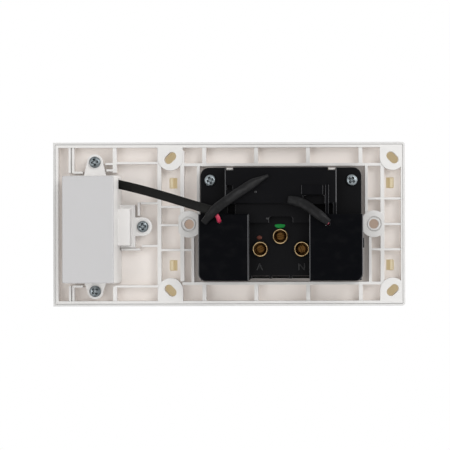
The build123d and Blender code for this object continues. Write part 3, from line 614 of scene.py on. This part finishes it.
# Painted highlight: the letters and the small domes are painted a paler black, with still paler edges.
PAINTED_HIGHLIGHT_BLACK = BlackMoulding("black with painted highlight", (0.02, 0.02, 0.021), (0.02, 0.02, 0.021), edge_highlight=(0.1, 0.1, 0.102))
ZINC = Metal("zinc plate", (0.25, 0.28, 0.295), (0.12, 0.14, 0.15), 0.3)
# Painted shade: the tube bores and the grub screws below the mouth take the dark deep tone.
BRASS = Metal(
    "turned brass", (0.72, 0.54, 0.30), (0.22, 0.13, 0.05), 0.22, (1.0, 0.15, 1.0),
    deep=(0.10, 0.05, 0.015), near=12.58 * MM, far=12.38 * MM,
)
STRIP_BRASS = Metal("rolled brass", (0.80, 0.58, 0.30), (0.55, 0.36, 0.15), 0.3, (0.2, 1.0, 1.0))
SILVER = Metal("silver contact", (0.86, 0.85, 0.82), (0.62, 0.6, 0.55), 0.22)
SPRING_WIRE = Metal("spring wire", (0.56, 0.56, 0.57), (0.34, 0.34, 0.35), 0.28)
PORT_STEEL = Metal("nickel plate", (0.68, 0.67, 0.65), (0.45, 0.44, 0.42), 0.24, (1.0, 0.2, 1.0))
CAN = Metal("drawn can", (0.7, 0.71, 0.72), (0.5, 0.5, 0.51), 0.3, (1.0, 0.2, 1.0))
GOLD_CONTACT = Metal("gold contact", (0.85, 0.62, 0.26), (0.6, 0.4, 0.15), 0.2)
SLEEVE = Tubing("shrunk sleeve", (0.004, 0.004, 0.0045), (0.013, 0.013, 0.014), 0.4, specular=0.16)
LEAD = Tubing("lead covering", (0.0035, 0.0035, 0.003), (0.007, 0.007, 0.006), 0.42, specular=0.13)
RED_COVERING = Tubing("red covering", (0.42, 0.02, 0.06), (0.62, 0.09, 0.16), 0.36, 0.5 * MM, 0.02 * MM)
GREEN_MARK = Tubing("green mark", (0.004, 0.18, 0.03), (0.01, 0.24, 0.06), 0.45, 0.5 * MM, 0.01 * MM, 0.15)
RED_MARK = Tubing("red mark", (0.10, 0.028, 0.018), (0.22, 0.11, 0.09), 0.5, 0.5 * MM, 0.02 * MM, 0.15)
TAPE = Tubing("coil tape", (0.6, 0.42, 0.04), (0.7, 0.55, 0.12), 0.35)
FERRITE = BlackMoulding("ferrite", (0.03, 0.03, 0.032), (0.05, 0.05, 0.052), roughness=0.5)
BOARD = Lacquer("board lacquer", (0.012, 0.12, 0.04), (0.02, 0.18, 0.06))

Finish = Union[Moulding, BlackMoulding, Metal, Tubing, Lacquer]


def linked(name: str, data: bpy.types.ID) -> bpy.types.Object:
    """Return a new object that is in the scene."""
    made = bpy.data.objects.new(name, data)
    bpy.context.scene.collection.objects.link(made)
    return made


def plain_mesh(carrier: bpy.types.Object) -> bpy.types.Mesh:
    """Make an object's evaluated shape a plain mesh, and remove the object with its modifiers.

    Args:
        carrier: The object.

    Returns:
        The mesh.
    """
    bpy.context.view_layer.update()
    made = bpy.data.meshes.new_from_object(carrier.evaluated_get(bpy.context.evaluated_depsgraph_get()))
    carrier.modifiers.clear()
    bpy.data.objects.remove(carrier)
    return made


class Workshop:
    """Makes each material once and puts finished meshes and dressed nodes into the scene."""

    def __init__(self) -> None:
        """Start with no materials."""
        self._made: dict[str, bpy.types.Material] = {}

    def finish(self, finish: Finish) -> bpy.types.Material:
        """Return a finish's material.

        Args:
            finish: The finish.

        Returns:
            Its material.
        """
        if finish.name not in self._made:
            self._made[finish.name] = finish.material()
        return self._made[finish.name]

    def dress(self, finishes: dict[str, Finish]) -> None:
        """Give CAD nodes their finishes.

        Args:
            finishes: A finish for each node's name.
        """
        for name, finish in finishes.items():
            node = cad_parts[name]
            node.data.materials.clear()
            node.data.materials.append(self.finish(finish))
            log.info("node %s in %s", name, finish.name)

    def place(
        self,
        name: str,
        mesh: bpy.types.Mesh,
        finish: Finish,
        slot: str,
        body: Body = Body.HOUSING,
        replaced: Sequence[str] = (),
    ) -> None:
        """Put a finished mesh into the scene.

        Args:
            name: The piece's name.
            mesh: Its mesh, in place.
            finish: Its finish.
            slot: Not used.
            body: The body it rides on.
            replaced: The CAD nodes it stands for.
        """
        mesh.materials.clear()
        mesh.materials.append(self.finish(finish))
        mesh.polygons.foreach_set("use_smooth", [True] * len(mesh.polygons))
        mesh.set_sharp_from_angle(angle=SHARP_EDGE)
        piece = linked(name, mesh)
        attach(piece, body.value)
        if replaced:
            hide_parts(*replaced)
        log.info("piece %s: %d faces", name, len(mesh.polygons))

    def copies(
        self,
        name: str,
        template: bpy.types.Mesh,
        places: Sequence[Place],
        turns: Sequence[float],
        finish: Finish,
        slot: str,
        replaced: Sequence[str] = (),
    ) -> None:
        """Put copies of a template into the scene as one piece.

        Args:
            name: The piece's name.
            template: The mesh to repeat.
            places: Where each copy stands.
            turns: The turn of each copy about Y, in degrees.
            finish: Their finish.
            slot: Passed on to place, which does not use it.
            replaced: The CAD nodes they stand for.
        """
        mesh = repeated(f"{name} recipe", template, places, turns, self.finish(finish))
        self.place(name, mesh, finish, slot, replaced=replaced)


class Recipe(Graph):
    """A Geometry Nodes tree with named inputs, whose result becomes a plain mesh."""

    def __init__(self, name: str, material: bpy.types.Material) -> None:
        """Start a recipe that takes one shape.

        Args:
            name: The recipe's name.
            material: The material of what it makes.
        """
        super().__init__(bpy.data.node_groups.new(name, "GeometryNodeTree"))
        self.material = material
        self._given = self.tree.nodes.new("NodeGroupInput")
        self._settings: dict[str, float] = {}
        self.shape = self._input("Shape", Socket.SHAPE)

    def _input(self, name: str, kind: Socket) -> Value:
        """Add a named input and return it."""
        self.tree.interface.new_socket(name, in_out="INPUT", socket_type=kind.value)
        return Value(self, self._given.outputs[name])

    def setting(self, name: str, value: float, kind: Socket = Socket.SIZE) -> Value:
        """Add a named input with its value.

        Args:
            name: The input's name.
            value: Its value.
            kind: The kind of number.

        Returns:
            The input, for use in the tree.
        """
        given = self._input(name, kind)
        self._settings[given.socket.identifier] = value
        return given

    def chosen(self, index: Value, options: Sequence[Place]) -> Value:
        """Return the place or the turn that stands at an index in a list."""
        return self.add(
            "GeometryNodeIndexSwitch",
            {"data_type": "VECTOR", "items": len(options)},
            {"Index": index, **{i + 1: option for i, option in enumerate(options)}},
        )

    def mesh(self, result: Value, start: bpy.types.ID) -> bpy.types.Mesh:
        """End the tree, run it on a mesh or curve and return what it makes.

        Args:
            result: The shape to keep.
            start: The mesh or curve that the tree is given.

        Returns:
            A plain mesh.
        """
        whole = self.add("GeometryNodeRealizeInstances", None, {0: result})
        dressed = self.add("GeometryNodeSetMaterial", None, {0: whole, "Material": self.material})
        self.tree.interface.new_socket("Shape", in_out="OUTPUT", socket_type=Socket.SHAPE.value)
        self.add("NodeGroupOutput", None, {0: dressed}, output=None)
        carrier = linked(self.tree.name, start)
        modifier = carrier.modifiers.new("recipe", "NODES")
        modifier.node_group = self.tree
        for identifier, value in self._settings.items():
            modifier[identifier] = value
        return plain_mesh(carrier)


def joined(name: str, sections: Sequence[Sequence[Place]], looped: bool = False) -> bpy.types.Mesh:
    """Join sections of as many points each into a closed skin.

    Args:
        name: The mesh's name.
        sections: The points of each section, all in the same turn.
        looped: Whether the last section joins the first. If not, both ends are capped.

    Returns:
        The mesh.
    """
    size, count = len(sections[0]), len(sections)
    faces: list[tuple[int, ...]] = []
    for ring in range(count if looped else count - 1):
        here, there = ring * size, (ring + 1) % count * size
        for k in range(size):
            after = (k + 1) % size
            faces.append((here + k, here + after, there + after, there + k))
    if not looped:
        last = (count - 1) * size
        faces += [tuple(reversed(range(size))), tuple(range(last, last + size))]
    mesh = bpy.data.meshes.new(name)
    mesh.from_pydata([point for section in sections for point in section], [], faces)
    return mesh


def turned(
    name: str, profile: Sequence[Pair], cut: Height = lambda x, z: 0.0, cut_above: float = 0.0
) -> bpy.types.Mesh:
    """Return a closed form turned about the Y axis, with a recess in its face.

    Args:
        name: The mesh's name.
        profile: Radius and y, from the middle of the face to the middle of the far end.
        cut: How deep the recess is at x and z.
        cut_above: The y above which the recess is cut.

    Returns:
        The mesh.
    """
    rings = []
    for radius, y in profile:
        turns = (2 * math.pi * k / SPOKES for k in range(SPOKES))
        flat = [(radius * math.cos(turn), radius * math.sin(turn)) for turn in turns]
        rings.append([(x, y - (cut(x, z) if y > cut_above else 0.0), z) for x, z in flat])
    return joined(name, rings)


def repeated(
    name: str,
    template: bpy.types.Mesh,
    places: Sequence[Place],
    turns: Sequence[float],
    material: bpy.types.Material,
    size: float = 1.0,
) -> bpy.types.Mesh:
    """Return copies of a template at the given places, each turned about Y.

    Args:
        name: The recipe's name.
        template: The mesh to repeat.
        places: Where each copy stands.
        turns: The turn of each copy, in degrees.
        material: The copies' material.
        size: The scale of each copy.

    Returns:
        One mesh with all the copies.
    """
    recipe = Recipe(name, material)
    index = recipe.add("GeometryNodeInputIndex")
    points = recipe.add(
        "GeometryNodePoints",
        None,
        {"Count": recipe.setting("Count", len(places), Socket.COUNT), "Position": recipe.chosen(index, places)},
    )
    turn = recipe.chosen(index, [(0.0, math.radians(angle), 0.0) for angle in turns])
    scale = recipe.setting("Size", size)
    copies = recipe.add(
        "GeometryNodeInstanceOnPoints",
        None,
        {
            "Points": points,
            "Instance": recipe.shape,
            "Rotation": recipe.add("FunctionNodeEulerToRotation", None, {0: turn}),
            "Scale": recipe.add("ShaderNodeCombineXYZ", None, {0: scale, 1: scale, 2: scale}),
        },
    )
    return recipe.mesh(copies, template)


@dataclass(frozen=True)
class DriverScrew:
    """A screw driven from behind: a domed head with a recess, and a plain shank."""

    radius: float
    height: float
    shank: float
    length: float
    recess: Recess
    recess_width: float
    recess_depth: float
    edge: float = 0.45
    wall: float = 0.1 * MM
    cross_reach: float = 0.62
    rings: int = 22
    pin: float = 0.2
    tip: float = 0.05 * MM
    cut_share: float = 0.9

    def _cut(self, x: float, z: float) -> float:
        """Give the recess's depth.

        Args:
            x: The place on the face along X.
            z: The place along Z.

        Returns:
            The depth there.
        """
        across, along = sorted((abs(x), abs(z))) if self.recess is Recess.CROSS else (abs(z), abs(x))
        reach = self.radius * (self.cross_reach if self.recess is Recess.CROSS else 2)
        share = max(0.0, min(1.0, (self.recess_width / 2 + self.wall - across) / self.wall))
        share *= max(0.0, min(1.0, (reach - along) / (2 * self.wall)))
        return self.recess_depth * share

    def template(self, name: str) -> bpy.types.Mesh:
        """Return the screw with its seat at y = 0 and its head towards +Y.

        Args:
            name: The mesh's name.

        Returns:
            The mesh.
        """
        profile = []
        for i in range(self.rings + 1):
            share = max(i, self.pin) / self.rings
            crown = self.height * (self.edge + (1 - self.edge) * math.sqrt(max(0.0, 1 - share**3)))
            profile.append((self.radius * share, crown))
        profile += [(self.radius, 0.0), (self.shank, 0.0), (self.shank, -self.length), (self.tip, -self.length)]
        return turned(name, profile, self._cut, self.height * self.edge * self.cut_share)


@dataclass(frozen=True)
class Mark:
    """A low domed mark: half its width and height, how far it stands up, its place and its finish."""

    name: str
    half_width: float
    half_height: float
    depth: float
    place: Place
    finish: Finish
    top_share: float = 1.0
    steps: int = 8
    pin: float = 0.02
    foot: float = -0.3

    def mesh(self) -> bpy.types.Mesh:
        """Shape the mark, with its foot a little below the face at its place.

        Returns:
            The mesh.
        """
        arc = [math.pi / 2 * i / self.steps for i in range(self.steps + 1)]
        profile = [(max(math.sin(a), self.pin), math.cos(a)) for a in arc] + [(1.0, self.foot), (self.pin, self.foot)]
        mesh = turned(self.name, profile)
        for vertex in mesh.vertices:
            x, y, z = vertex.co
            share = self.top_share if z > 0 else 1.0
            vertex.co = (x * self.half_width, y * self.depth, z * self.half_height * share)
        mesh.transform(Matrix.Translation(self.place))
        return mesh


@dataclass
class WallPlate:
    """The front cover and the back frame with its ribs."""

    def build(self, workshop: Workshop) -> None:
        """Dress both mouldings.

        Args:
            workshop: The maker of materials and pieces.
        """
        workshop.dress({"cover_plate": WHITE_COVER, "grid_plate": WHITE_FRAME})


@dataclass
class Mechanism:
    """The black rear housing with its screws, moulded marks and two small pale domes that are painted highlights, the
    white front and the contact strips.
    """

    screw: DriverScrew = DriverScrew(2.6 * MM, 1.7 * MM, 1.4 * MM, 14.8 * MM, Recess.CROSS, 0.75 * MM, 1.0 * MM)
    screw_places: tuple[Place, ...] = ((-31.8 * MM, 8.0 * MM, 19.7 * MM), (31.8 * MM, 8.0 * MM, 19.7 * MM))
    screw_turns: tuple[float, ...] = (-35.0, 20.0)
    # Painted highlight: two small pale domes stand where the housing catches glints.
    highlight_nub: Mark = Mark("highlight_nub", 0.55 * MM, 0.55 * MM, 0.55 * MM, (0.0, 0.0, 0.0), PAINTED_HIGHLIGHT_BLACK)
    highlight_nubs: tuple[Place, ...] = ((11.2 * MM, 15.0 * MM, 14.4 * MM), (6.0 * MM, 13.0 * MM, 2.5 * MM))
    recess_floor: float = 10.0 * MM
    letter_height: float = 4.6 * MM
    letter_relief: float = 0.16 * MM
    letters: tuple[tuple[str, float, float], ...] = (("A", 9.6 * MM, -19.4 * MM), ("N", -9.3 * MM, -19.4 * MM))
    marks: tuple[Mark, ...] = (
        Mark("earth_mark", 2.4 * MM, 1.5 * MM, 0.35 * MM, (0.45 * MM, 10.0 * MM, -0.5 * MM), GREEN_MARK, 0.35),
        Mark("active_mark", 1.2 * MM, 0.95 * MM, 0.4 * MM, (9.7 * MM, 10.0 * MM, -6.1 * MM), RED_MARK),
    )

    def build(self, workshop: Workshop) -> None:
        """Dress the mouldings and strips, and add the screws, the marks and the domes of painted highlight.

        Args:
            workshop: The maker of materials and pieces.
        """
        workshop.dress({"mechanism_base": BLACK, "socket_front": WHITE_FRONT, "fixed_contacts": SILVER})
        strips = ("active_clip_left", "active_clip_right", "active_bar", "neutral_bar", "earth_bar")
        workshop.dress(dict.fromkeys(strips, STRIP_BRASS))
        workshop.copies(
            "mechanism_screw_pair", self.screw.template("long screw"), self.screw_places, self.screw_turns,
            ZINC, "zinc_steel", ("mechanism_screws",),
        )
        workshop.copies("painted_highlight_nubs", self.highlight_nub.mesh(), self.highlight_nubs, (0.0, 0.0), PAINTED_HIGHLIGHT_BLACK, "black_moulding")
        self._letters(workshop)
        for mark in self.marks:
            workshop.place(mark.name, mark.mesh(), mark.finish, "black_moulding")

    def _letters(self, workshop: Workshop) -> None:
        """Raise the generic letters of the active and neutral terminals from the recess floor.

        Args:
            workshop: The maker of materials and pieces.
        """
        for letter, x, z in self.letters:
            text = bpy.data.curves.new(f"letter {letter}", "FONT")
            text.body = letter
            text.align_x = "CENTER"
            text.align_y = "CENTER"
            text.size = self.letter_height
            text.extrude = self.letter_relief
            mesh = plain_mesh(linked(f"letter {letter}", text))
            turn = Matrix.Rotation(math.pi, 4, "Z") @ Matrix.Rotation(math.pi / 2, 4, "X")
            mesh.transform(Matrix.Translation((x, self.recess_floor, z)) @ turn)
            # The letters take the paler black: a painted highlight.
            workshop.place(f"terminal_letter_{letter.lower()}", mesh, PAINTED_HIGHLIGHT_BLACK, "black_moulding")


@dataclass
class Switches:
    """The rockers, their sprung plungers and the rocking contact blades."""

    def build(self, workshop: Workshop) -> None:
        """Dress both switches.

        Args:
            workshop: The maker of materials and pieces.
        """
        for side in ("left", "right"):
            workshop.dress(
                {
                    f"rocker_{side}": ROCKER_WHITE,
                    f"plunger_{side}": NYLON,
                    f"plunger_spring_{side}": SPRING_WIRE,
                    f"contact_arm_{side}": STRIP_BRASS,
                    f"arm_contact_{side}": SILVER,
                }
            )


@dataclass
class Terminals:
    """The three brass tubes with their threads and slotted grub screws."""

    tubes: tuple[Pair, ...] = (
        (9.3 * MM, -11.2 * MM),
        (-9.3 * MM, -11.2 * MM),
        (0.3 * MM, -5.5 * MM),
    )
    bore: float = 2.45 * MM
    thread_pitch: float = 0.55 * MM
    thread_turns: int = 5
    thread_top: float = 12.1 * MM
    thread_crest: float = 0.2 * MM
    thread_root: float = 0.02 * MM
    thread_spokes: int = 40
    screw: DriverScrew = DriverScrew(
        2.3 * MM, 1.7 * MM, 2.28 * MM, 0.1 * MM, Recess.SLOT, 0.75 * MM, 0.9 * MM, edge=0.85
    )
    screw_seat: float = 7.6 * MM
    screw_turns: tuple[float, ...] = (25.0, -70.0, 10.0)

    def build(self, workshop: Workshop) -> None:
        """Dress the tubes and add the threads and screws.

        Args:
            workshop: The maker of materials and pieces.
        """
        workshop.dress({f"{line}_terminal": BRASS for line in ("active", "neutral", "earth")})
        seats = [(x, self.screw_seat, z) for x, z in self.tubes]
        screw = self.screw.template("grub screw")
        workshop.copies("grub_screws", screw, seats, self.screw_turns, BRASS, "brass", ("terminal_screws",))
        rings = [
            (x, self.thread_top - turn * self.thread_pitch, z)
            for x, z in self.tubes
            for turn in range(self.thread_turns)
        ]
        workshop.copies("tube_threads", self._thread_ring(), rings, [0.0] * len(rings), BRASS, "brass")

    def _thread_ring(self) -> bpy.types.Mesh:
        """Shape one turn of the thread.

        Returns:
            A ridge round the bore.
        """
        crest, root = self.thread_crest, self.bore + self.thread_root
        sections = []
        for k in range(self.thread_spokes):
            turn = 2 * math.pi * k / self.thread_spokes
            ridge = ((root, crest), (self.bore - crest, 0.0), (root, -crest))
            sections.append([(radius * math.cos(turn), y, radius * math.sin(turn)) for radius, y in ridge])
        return joined("thread ring", sections, looped=True)


@dataclass
class Charger:
    """The USB charger: its case and screws, its board and its two ports."""

    screw: DriverScrew = DriverScrew(2.6 * MM, 1.8 * MM, 1.2 * MM, 4.4 * MM, Recess.CROSS, 0.8 * MM, 1.1 * MM)
    screw_places: tuple[Place, ...] = (
        (84.8 * MM, -1.0 * MM, 28.3 * MM),
        (84.8 * MM, -1.0 * MM, -30.4 * MM),
        (63.1 * MM, -1.0 * MM, -1.0 * MM),
    )
    screw_turns: tuple[float, ...] = (10.0, 40.0, 5.0)
    port_x: float = 85.2 * MM
    tongue_faces: tuple[float, ...] = (5.15 * MM, -9.85 * MM)
    contact_x: tuple[float, ...] = (-3.5 * MM, -1.0 * MM, 1.0 * MM, 3.5 * MM)
    contact_length: float = 7.5 * MM
    contact_half: float = 0.5 * MM
    contact_sheet: float = 0.12 * MM
    contact_bow: float = 0.18 * MM
    contact_steps: int = 10
    contact_front: float = -8.9 * MM

    def build(self, workshop: Workshop) -> None:
        """Dress the charger's nodes and add its screws and contacts.

        Args:
            workshop: The maker of materials and pieces.
        """
        workshop.dress(
            {
                "usb_case": WHITE_CASE,
                "usb_board": BOARD,
                "usb_port_upper": PORT_STEEL,
                "usb_port_lower": PORT_STEEL,
                "usb_tongue_upper": NYLON,
                "usb_tongue_lower": NYLON,
                "transformer_core": FERRITE,
                "transformer_coil": TAPE,
                "capacitors": CAN,
            }
        )
        workshop.copies(
            "case_screw_trio", self.screw.template("short screw"), self.screw_places, self.screw_turns,
            ZINC, "zinc_steel", ("usb_case_screws",),
        )
        places = [(self.port_x + x, self.contact_front, z) for z in self.tongue_faces for x in self.contact_x]
        workshop.copies("port_contacts", self._contact(), places, [0.0] * len(places), GOLD_CONTACT, "port_steel")

    def _contact(self) -> bpy.types.Mesh:
        """Shape one spring contact.

        Returns:
            A thin strip that bows down from the tongue.
        """
        steps, half = self.contact_steps, self.contact_half
        sections = []
        for i in range(steps + 1):
            y = self.contact_length * i / steps
            top = -self.contact_bow * math.sin(math.pi * i / steps)
            low = top - self.contact_sheet
            sections.append([(-half, y, top), (half, y, top), (half, y, low), (-half, y, low)])
        return joined("contact", sections)


@dataclass(frozen=True)
class Run:
    """A flattened tube along a route in millimetres, narrowed towards its ends."""

    name: str
    node: str
    route: tuple[Place, ...]
    width: float
    thickness: float
    finish: Tubing
    slot: str
    start_share: float = 1.0
    start_taper: float = 0.01
    end_share: float = 1.0
    end_taper: float = 0.01
    squareness: float = 1.0
    wrinkle: float = 0.0
    wrinkle_size: float = 2.2 * MM
    sections: int = 72
    corners: int = 28

    def _spline(self) -> bpy.types.Curve:
        """Lay the route.

        Returns:
            A smooth curve in metres.
        """
        curve = bpy.data.curves.new(self.name, "CURVE")
        curve.dimensions = "3D"
        spline = curve.splines.new("NURBS")
        spline.points.add(len(self.route) - 1)
        for point, place in zip(spline.points, self.route):
            point.co = (*(MM * c for c in place), 1.0)
        spline.order_u = 3
        spline.use_endpoint_u = True
        spline.resolution_u = 16
        return curve

    def mesh(self, material: bpy.types.Material) -> bpy.types.Mesh:
        """Sweep the flattened profile along the route.

        Args:
            material: The tube's material.

        Returns:
            The mesh.
        """
        recipe = Recipe(self.name, material)
        route = recipe.add("GeometryNodeResampleCurve", None, {0: recipe.shape, "Count": self.sections})
        level = recipe.add(
            "ShaderNodeVectorMath",
            {"operation": "CROSS_PRODUCT"},
            {0: recipe.add("GeometryNodeInputTangent"), 1: (0.0, 1.0, 0.0)},
        )
        route = recipe.add("GeometryNodeSetCurveNormal", {"mode": "FREE"}, {0: route, "Normal": level})
        along = recipe.add("GeometryNodeSplineParameter")
        start = (recipe.setting("Start taper", self.start_taper), recipe.setting("Start share", self.start_share))
        end = (recipe.setting("End taper", self.end_taper), recipe.setting("End share", self.end_share))
        ends = along.between(0.0, *start, 1.0) * (1 - along).between(0.0, *end, 1.0)
        swept = recipe.add(
            "GeometryNodeCurveToMesh",
            None,
            {"Curve": route, "Profile Curve": self._profile(recipe), "Scale": ends, "Fill Caps": True},
        )
        grain = recipe.add("ShaderNodeTexNoise", None, {"Scale": 1 / self.wrinkle_size, "Detail": 2.0})
        height = (grain - 0.5) * recipe.setting("Wrinkle", self.wrinkle)
        normal = recipe.add("GeometryNodeInputNormal")
        offset = recipe.add("ShaderNodeVectorMath", {"operation": "SCALE"}, {0: normal, "Scale": height})
        return recipe.mesh(recipe.add("GeometryNodeSetPosition", None, {0: swept, "Offset": offset}), self._spline())

    def _profile(self, recipe: Recipe) -> Value:
        """Shape the flattened section, from round to nearly square.

        Args:
            recipe: The tree to add to.

        Returns:
            The section.
        """
        circle = recipe.add("GeometryNodeCurvePrimitiveCircle", None, {"Resolution": self.corners, "Radius": 1.0})
        corner = recipe.setting("Squareness", self.squareness)
        sizes = {"X": recipe.setting("Width", self.width), "Y": recipe.setting("Thickness", self.thickness)}
        axes = []
        for axis, size in sizes.items():
            place = recipe.add("GeometryNodeInputPosition")
            part = recipe.add("ShaderNodeSeparateXYZ", None, {0: place}, output=axis)
            axes.append(part.sign() * abs(part) ** corner * size * 0.5)
        place = recipe.add("ShaderNodeCombineXYZ", None, {0: axes[0], 1: axes[1]})
        return recipe.add("GeometryNodeSetPosition", None, {0: circle, "Position": place})


@dataclass
class Wiring:
    """The flat supply lead, the two sleeves and the red wire ends."""

    runs: tuple[Run, ...] = (
        Run(
            "flat_lead", "supply_lead",
            ((74.8, 2.6, 18.4), (66.0, 6.2, 16.5), (51.0, 12.2, 12.3), (38.0, 17.2, 8.3), (29.0, 20.4, 5.6)),
            4.1 * MM, 2.0 * MM, LEAD, "lead", squareness=0.6,
        ),
        Run(
            "joint_sleeve_right", "sleeve_right",
            ((5.4, 16.5, 21.6), (9.5, 17.0, 19.8), (16.5, 19.5, 15.4), (23.5, 22.4, 10.6), (30.0, 23.0, 5.6),
             (33.8, 20.4, 0.9)),
            4.3 * MM, 3.0 * MM, SLEEVE, "sleeve", 0.36, 0.24, 0.72, 0.2, 0.85, 0.45 * MM,
        ),
        Run(
            "joint_sleeve_left", "sleeve_left",
            ((-3.3, 17.0, 10.9), (-7.2, 17.1, 10.2), (-10.8, 17.5, 8.7), (-16.2, 20.0, 4.8), (-21.4, 20.2, 0.6)),
            4.5 * MM, 3.3 * MM, SLEEVE, "sleeve", 0.8, 0.2, 0.72, 0.25, 0.7, 0.35 * MM,
        ),
        Run(
            "red_end_right", "red_wire_right",
            ((28.6, 20.7, 4.4), (27.8, 20.9, 3.4), (27.4, 20.2, 2.3), (27.3, 18.8, 1.5), (27.3, 16.8, 1.4)),
            1.85 * MM, 1.85 * MM, RED_COVERING, "red_wire",
        ),
        Run(
            "red_end_left", "red_wire_left",
            ((-20.7, 18.6, 0.7), (-20.5, 17.8, 0.5), (-20.3, 16.8, 0.4)),
            1.85 * MM, 1.85 * MM, RED_COVERING, "red_wire",
        ),
    )

    def build(self, workshop: Workshop) -> None:
        """Sweep every run in place of its CAD node.

        Args:
            workshop: The maker of materials and pieces.
        """
        for run in self.runs:
            mesh = run.mesh(workshop.finish(run.finish))
            workshop.place(run.name, mesh, run.finish, run.slot, replaced=(run.node,))


@dataclass(frozen=True)
class Softbox:
    """A square lamp that faces the object: its place, the length of its side and its power in watts."""

    name: str
    place: Place
    size: float
    power: float
    aim: Place = (0.02, 0.0, 0.0)

    def hang(self) -> None:
        """Put the lamp into the scene."""
        data = bpy.data.lights.new(self.name, "AREA")
        data.size, data.energy = self.size, self.power
        turn = (Vector(self.aim) - Vector(self.place)).to_track_quat("-Z", "Y").to_matrix().to_4x4()
        linked(self.name, data).matrix_world = Matrix.Translation(self.place) @ turn


@dataclass
class Studio:
    """The camera, the lamps, the floor and the white surroundings."""

    distance: float = 800 * MM
    foot: Place = (-17.8 * MM, 0.0, 0.0)
    lens: float = 140.83
    shift: Pair = (-0.2125, -0.0024)
    roll: float = -0.15
    floor_level: float = -0.22
    floor_width: float = 1.3
    floor_colour: Colour = (0.86, 0.86, 0.86)
    floor_mark: Colour = (0.82, 0.82, 0.815)
    floor_mark_size: float = 40 * MM
    floor_mark_share: float = 0.3
    floor_roughness: float = 0.7
    floor_spread: float = 0.1
    ambient: float = 0.66
    lamps: tuple[Softbox, ...] = (
        Softbox("key", (-0.55, 0.95, 0.42), 0.5, 3.7),
        Softbox("side", (-1.15, 0.12, 0.35), 0.6, 6.2),
        Softbox("fill", (0.65, 1.1, -0.15), 0.6, 3.0),
        Softbox("front", (0.2, -1.1, 0.5), 0.8, 4.0),
    )

    def build(self) -> None:
        """Make the whole studio."""
        bpy.context.scene.view_settings.view_transform = "Standard"
        self._camera()
        for lamp in self.lamps:
            lamp.hang()
        self._world()
        self._floor()

    def _camera(self) -> None:
        """Set the camera behind the plate, square to it."""
        lens = bpy.data.cameras.new("camera")
        lens.lens = self.lens
        lens.shift_x, lens.shift_y = self.shift
        camera = linked("camera", lens)
        turn = Matrix.Rotation(math.pi, 4, "Z") @ Matrix.Rotation(math.pi / 2, 4, "X")
        roll = Matrix.Rotation(math.radians(self.roll), 4, "Y")
        place = Vector(self.foot) + Vector((0.0, self.distance, 0.0))
        camera.matrix_world = Matrix.Translation(place) @ roll @ turn
        bpy.context.scene.camera = camera

    def _world(self) -> None:
        """Surround the object with soft light, plain white to the camera, in reflections and through glass."""
        world = bpy.data.worlds.new("surroundings")
        world.use_nodes = True
        graph = Graph(world.node_tree)
        graph.tree.nodes.clear()
        seen: Operand = 0.0
        for ray in ("Is Camera Ray", "Is Glossy Ray", "Is Transmission Ray"):
            seen = graph.add("ShaderNodeLightPath", output=ray) + seen
        strength = self.ambient + seen.between(0.0, 1.0) * (1 - self.ambient)
        back = graph.add("ShaderNodeBackground", None, {"Color": (1.0, 1.0, 1.0, 1.0), "Strength": strength})
        graph.add("ShaderNodeOutputWorld", None, {"Surface": back}, output=None)
        bpy.context.scene.world = world

    def _floor(self) -> None:
        """Lay a plain pale floor below the object."""
        half = self.floor_width / 2
        corners = [(x, y, self.floor_level) for x, y in ((-half, -half), (half, -half), (half, half), (-half, half))]
        mesh = bpy.data.meshes.new("floor")
        mesh.from_pydata(corners, [], [(0, 1, 2, 3)])
        s = Shader("pale floor")
        marks = s.noise(self.floor_mark_size, 4)
        mesh.materials.append(
            s.surface(
                Base_Color=s.mixed(marks * self.floor_mark_share, self.floor_colour, self.floor_mark),
                Roughness=self.floor_roughness + (marks - 0.5) * self.floor_spread,
            )
        )
        floor = linked("floor", mesh)


def main() -> None:
    """Build each sub-assembly in order."""
    logging.basicConfig(level=logging.INFO)
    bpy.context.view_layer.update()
    workshop = Workshop()
    for assembly in (WallPlate(), Mechanism(), Switches(), Terminals(), Charger(), Wiring()):
        log.info("assembly %s", type(assembly).__name__)
        assembly.build(workshop)
    Studio().build()


if __name__ == "__main__":
    main()
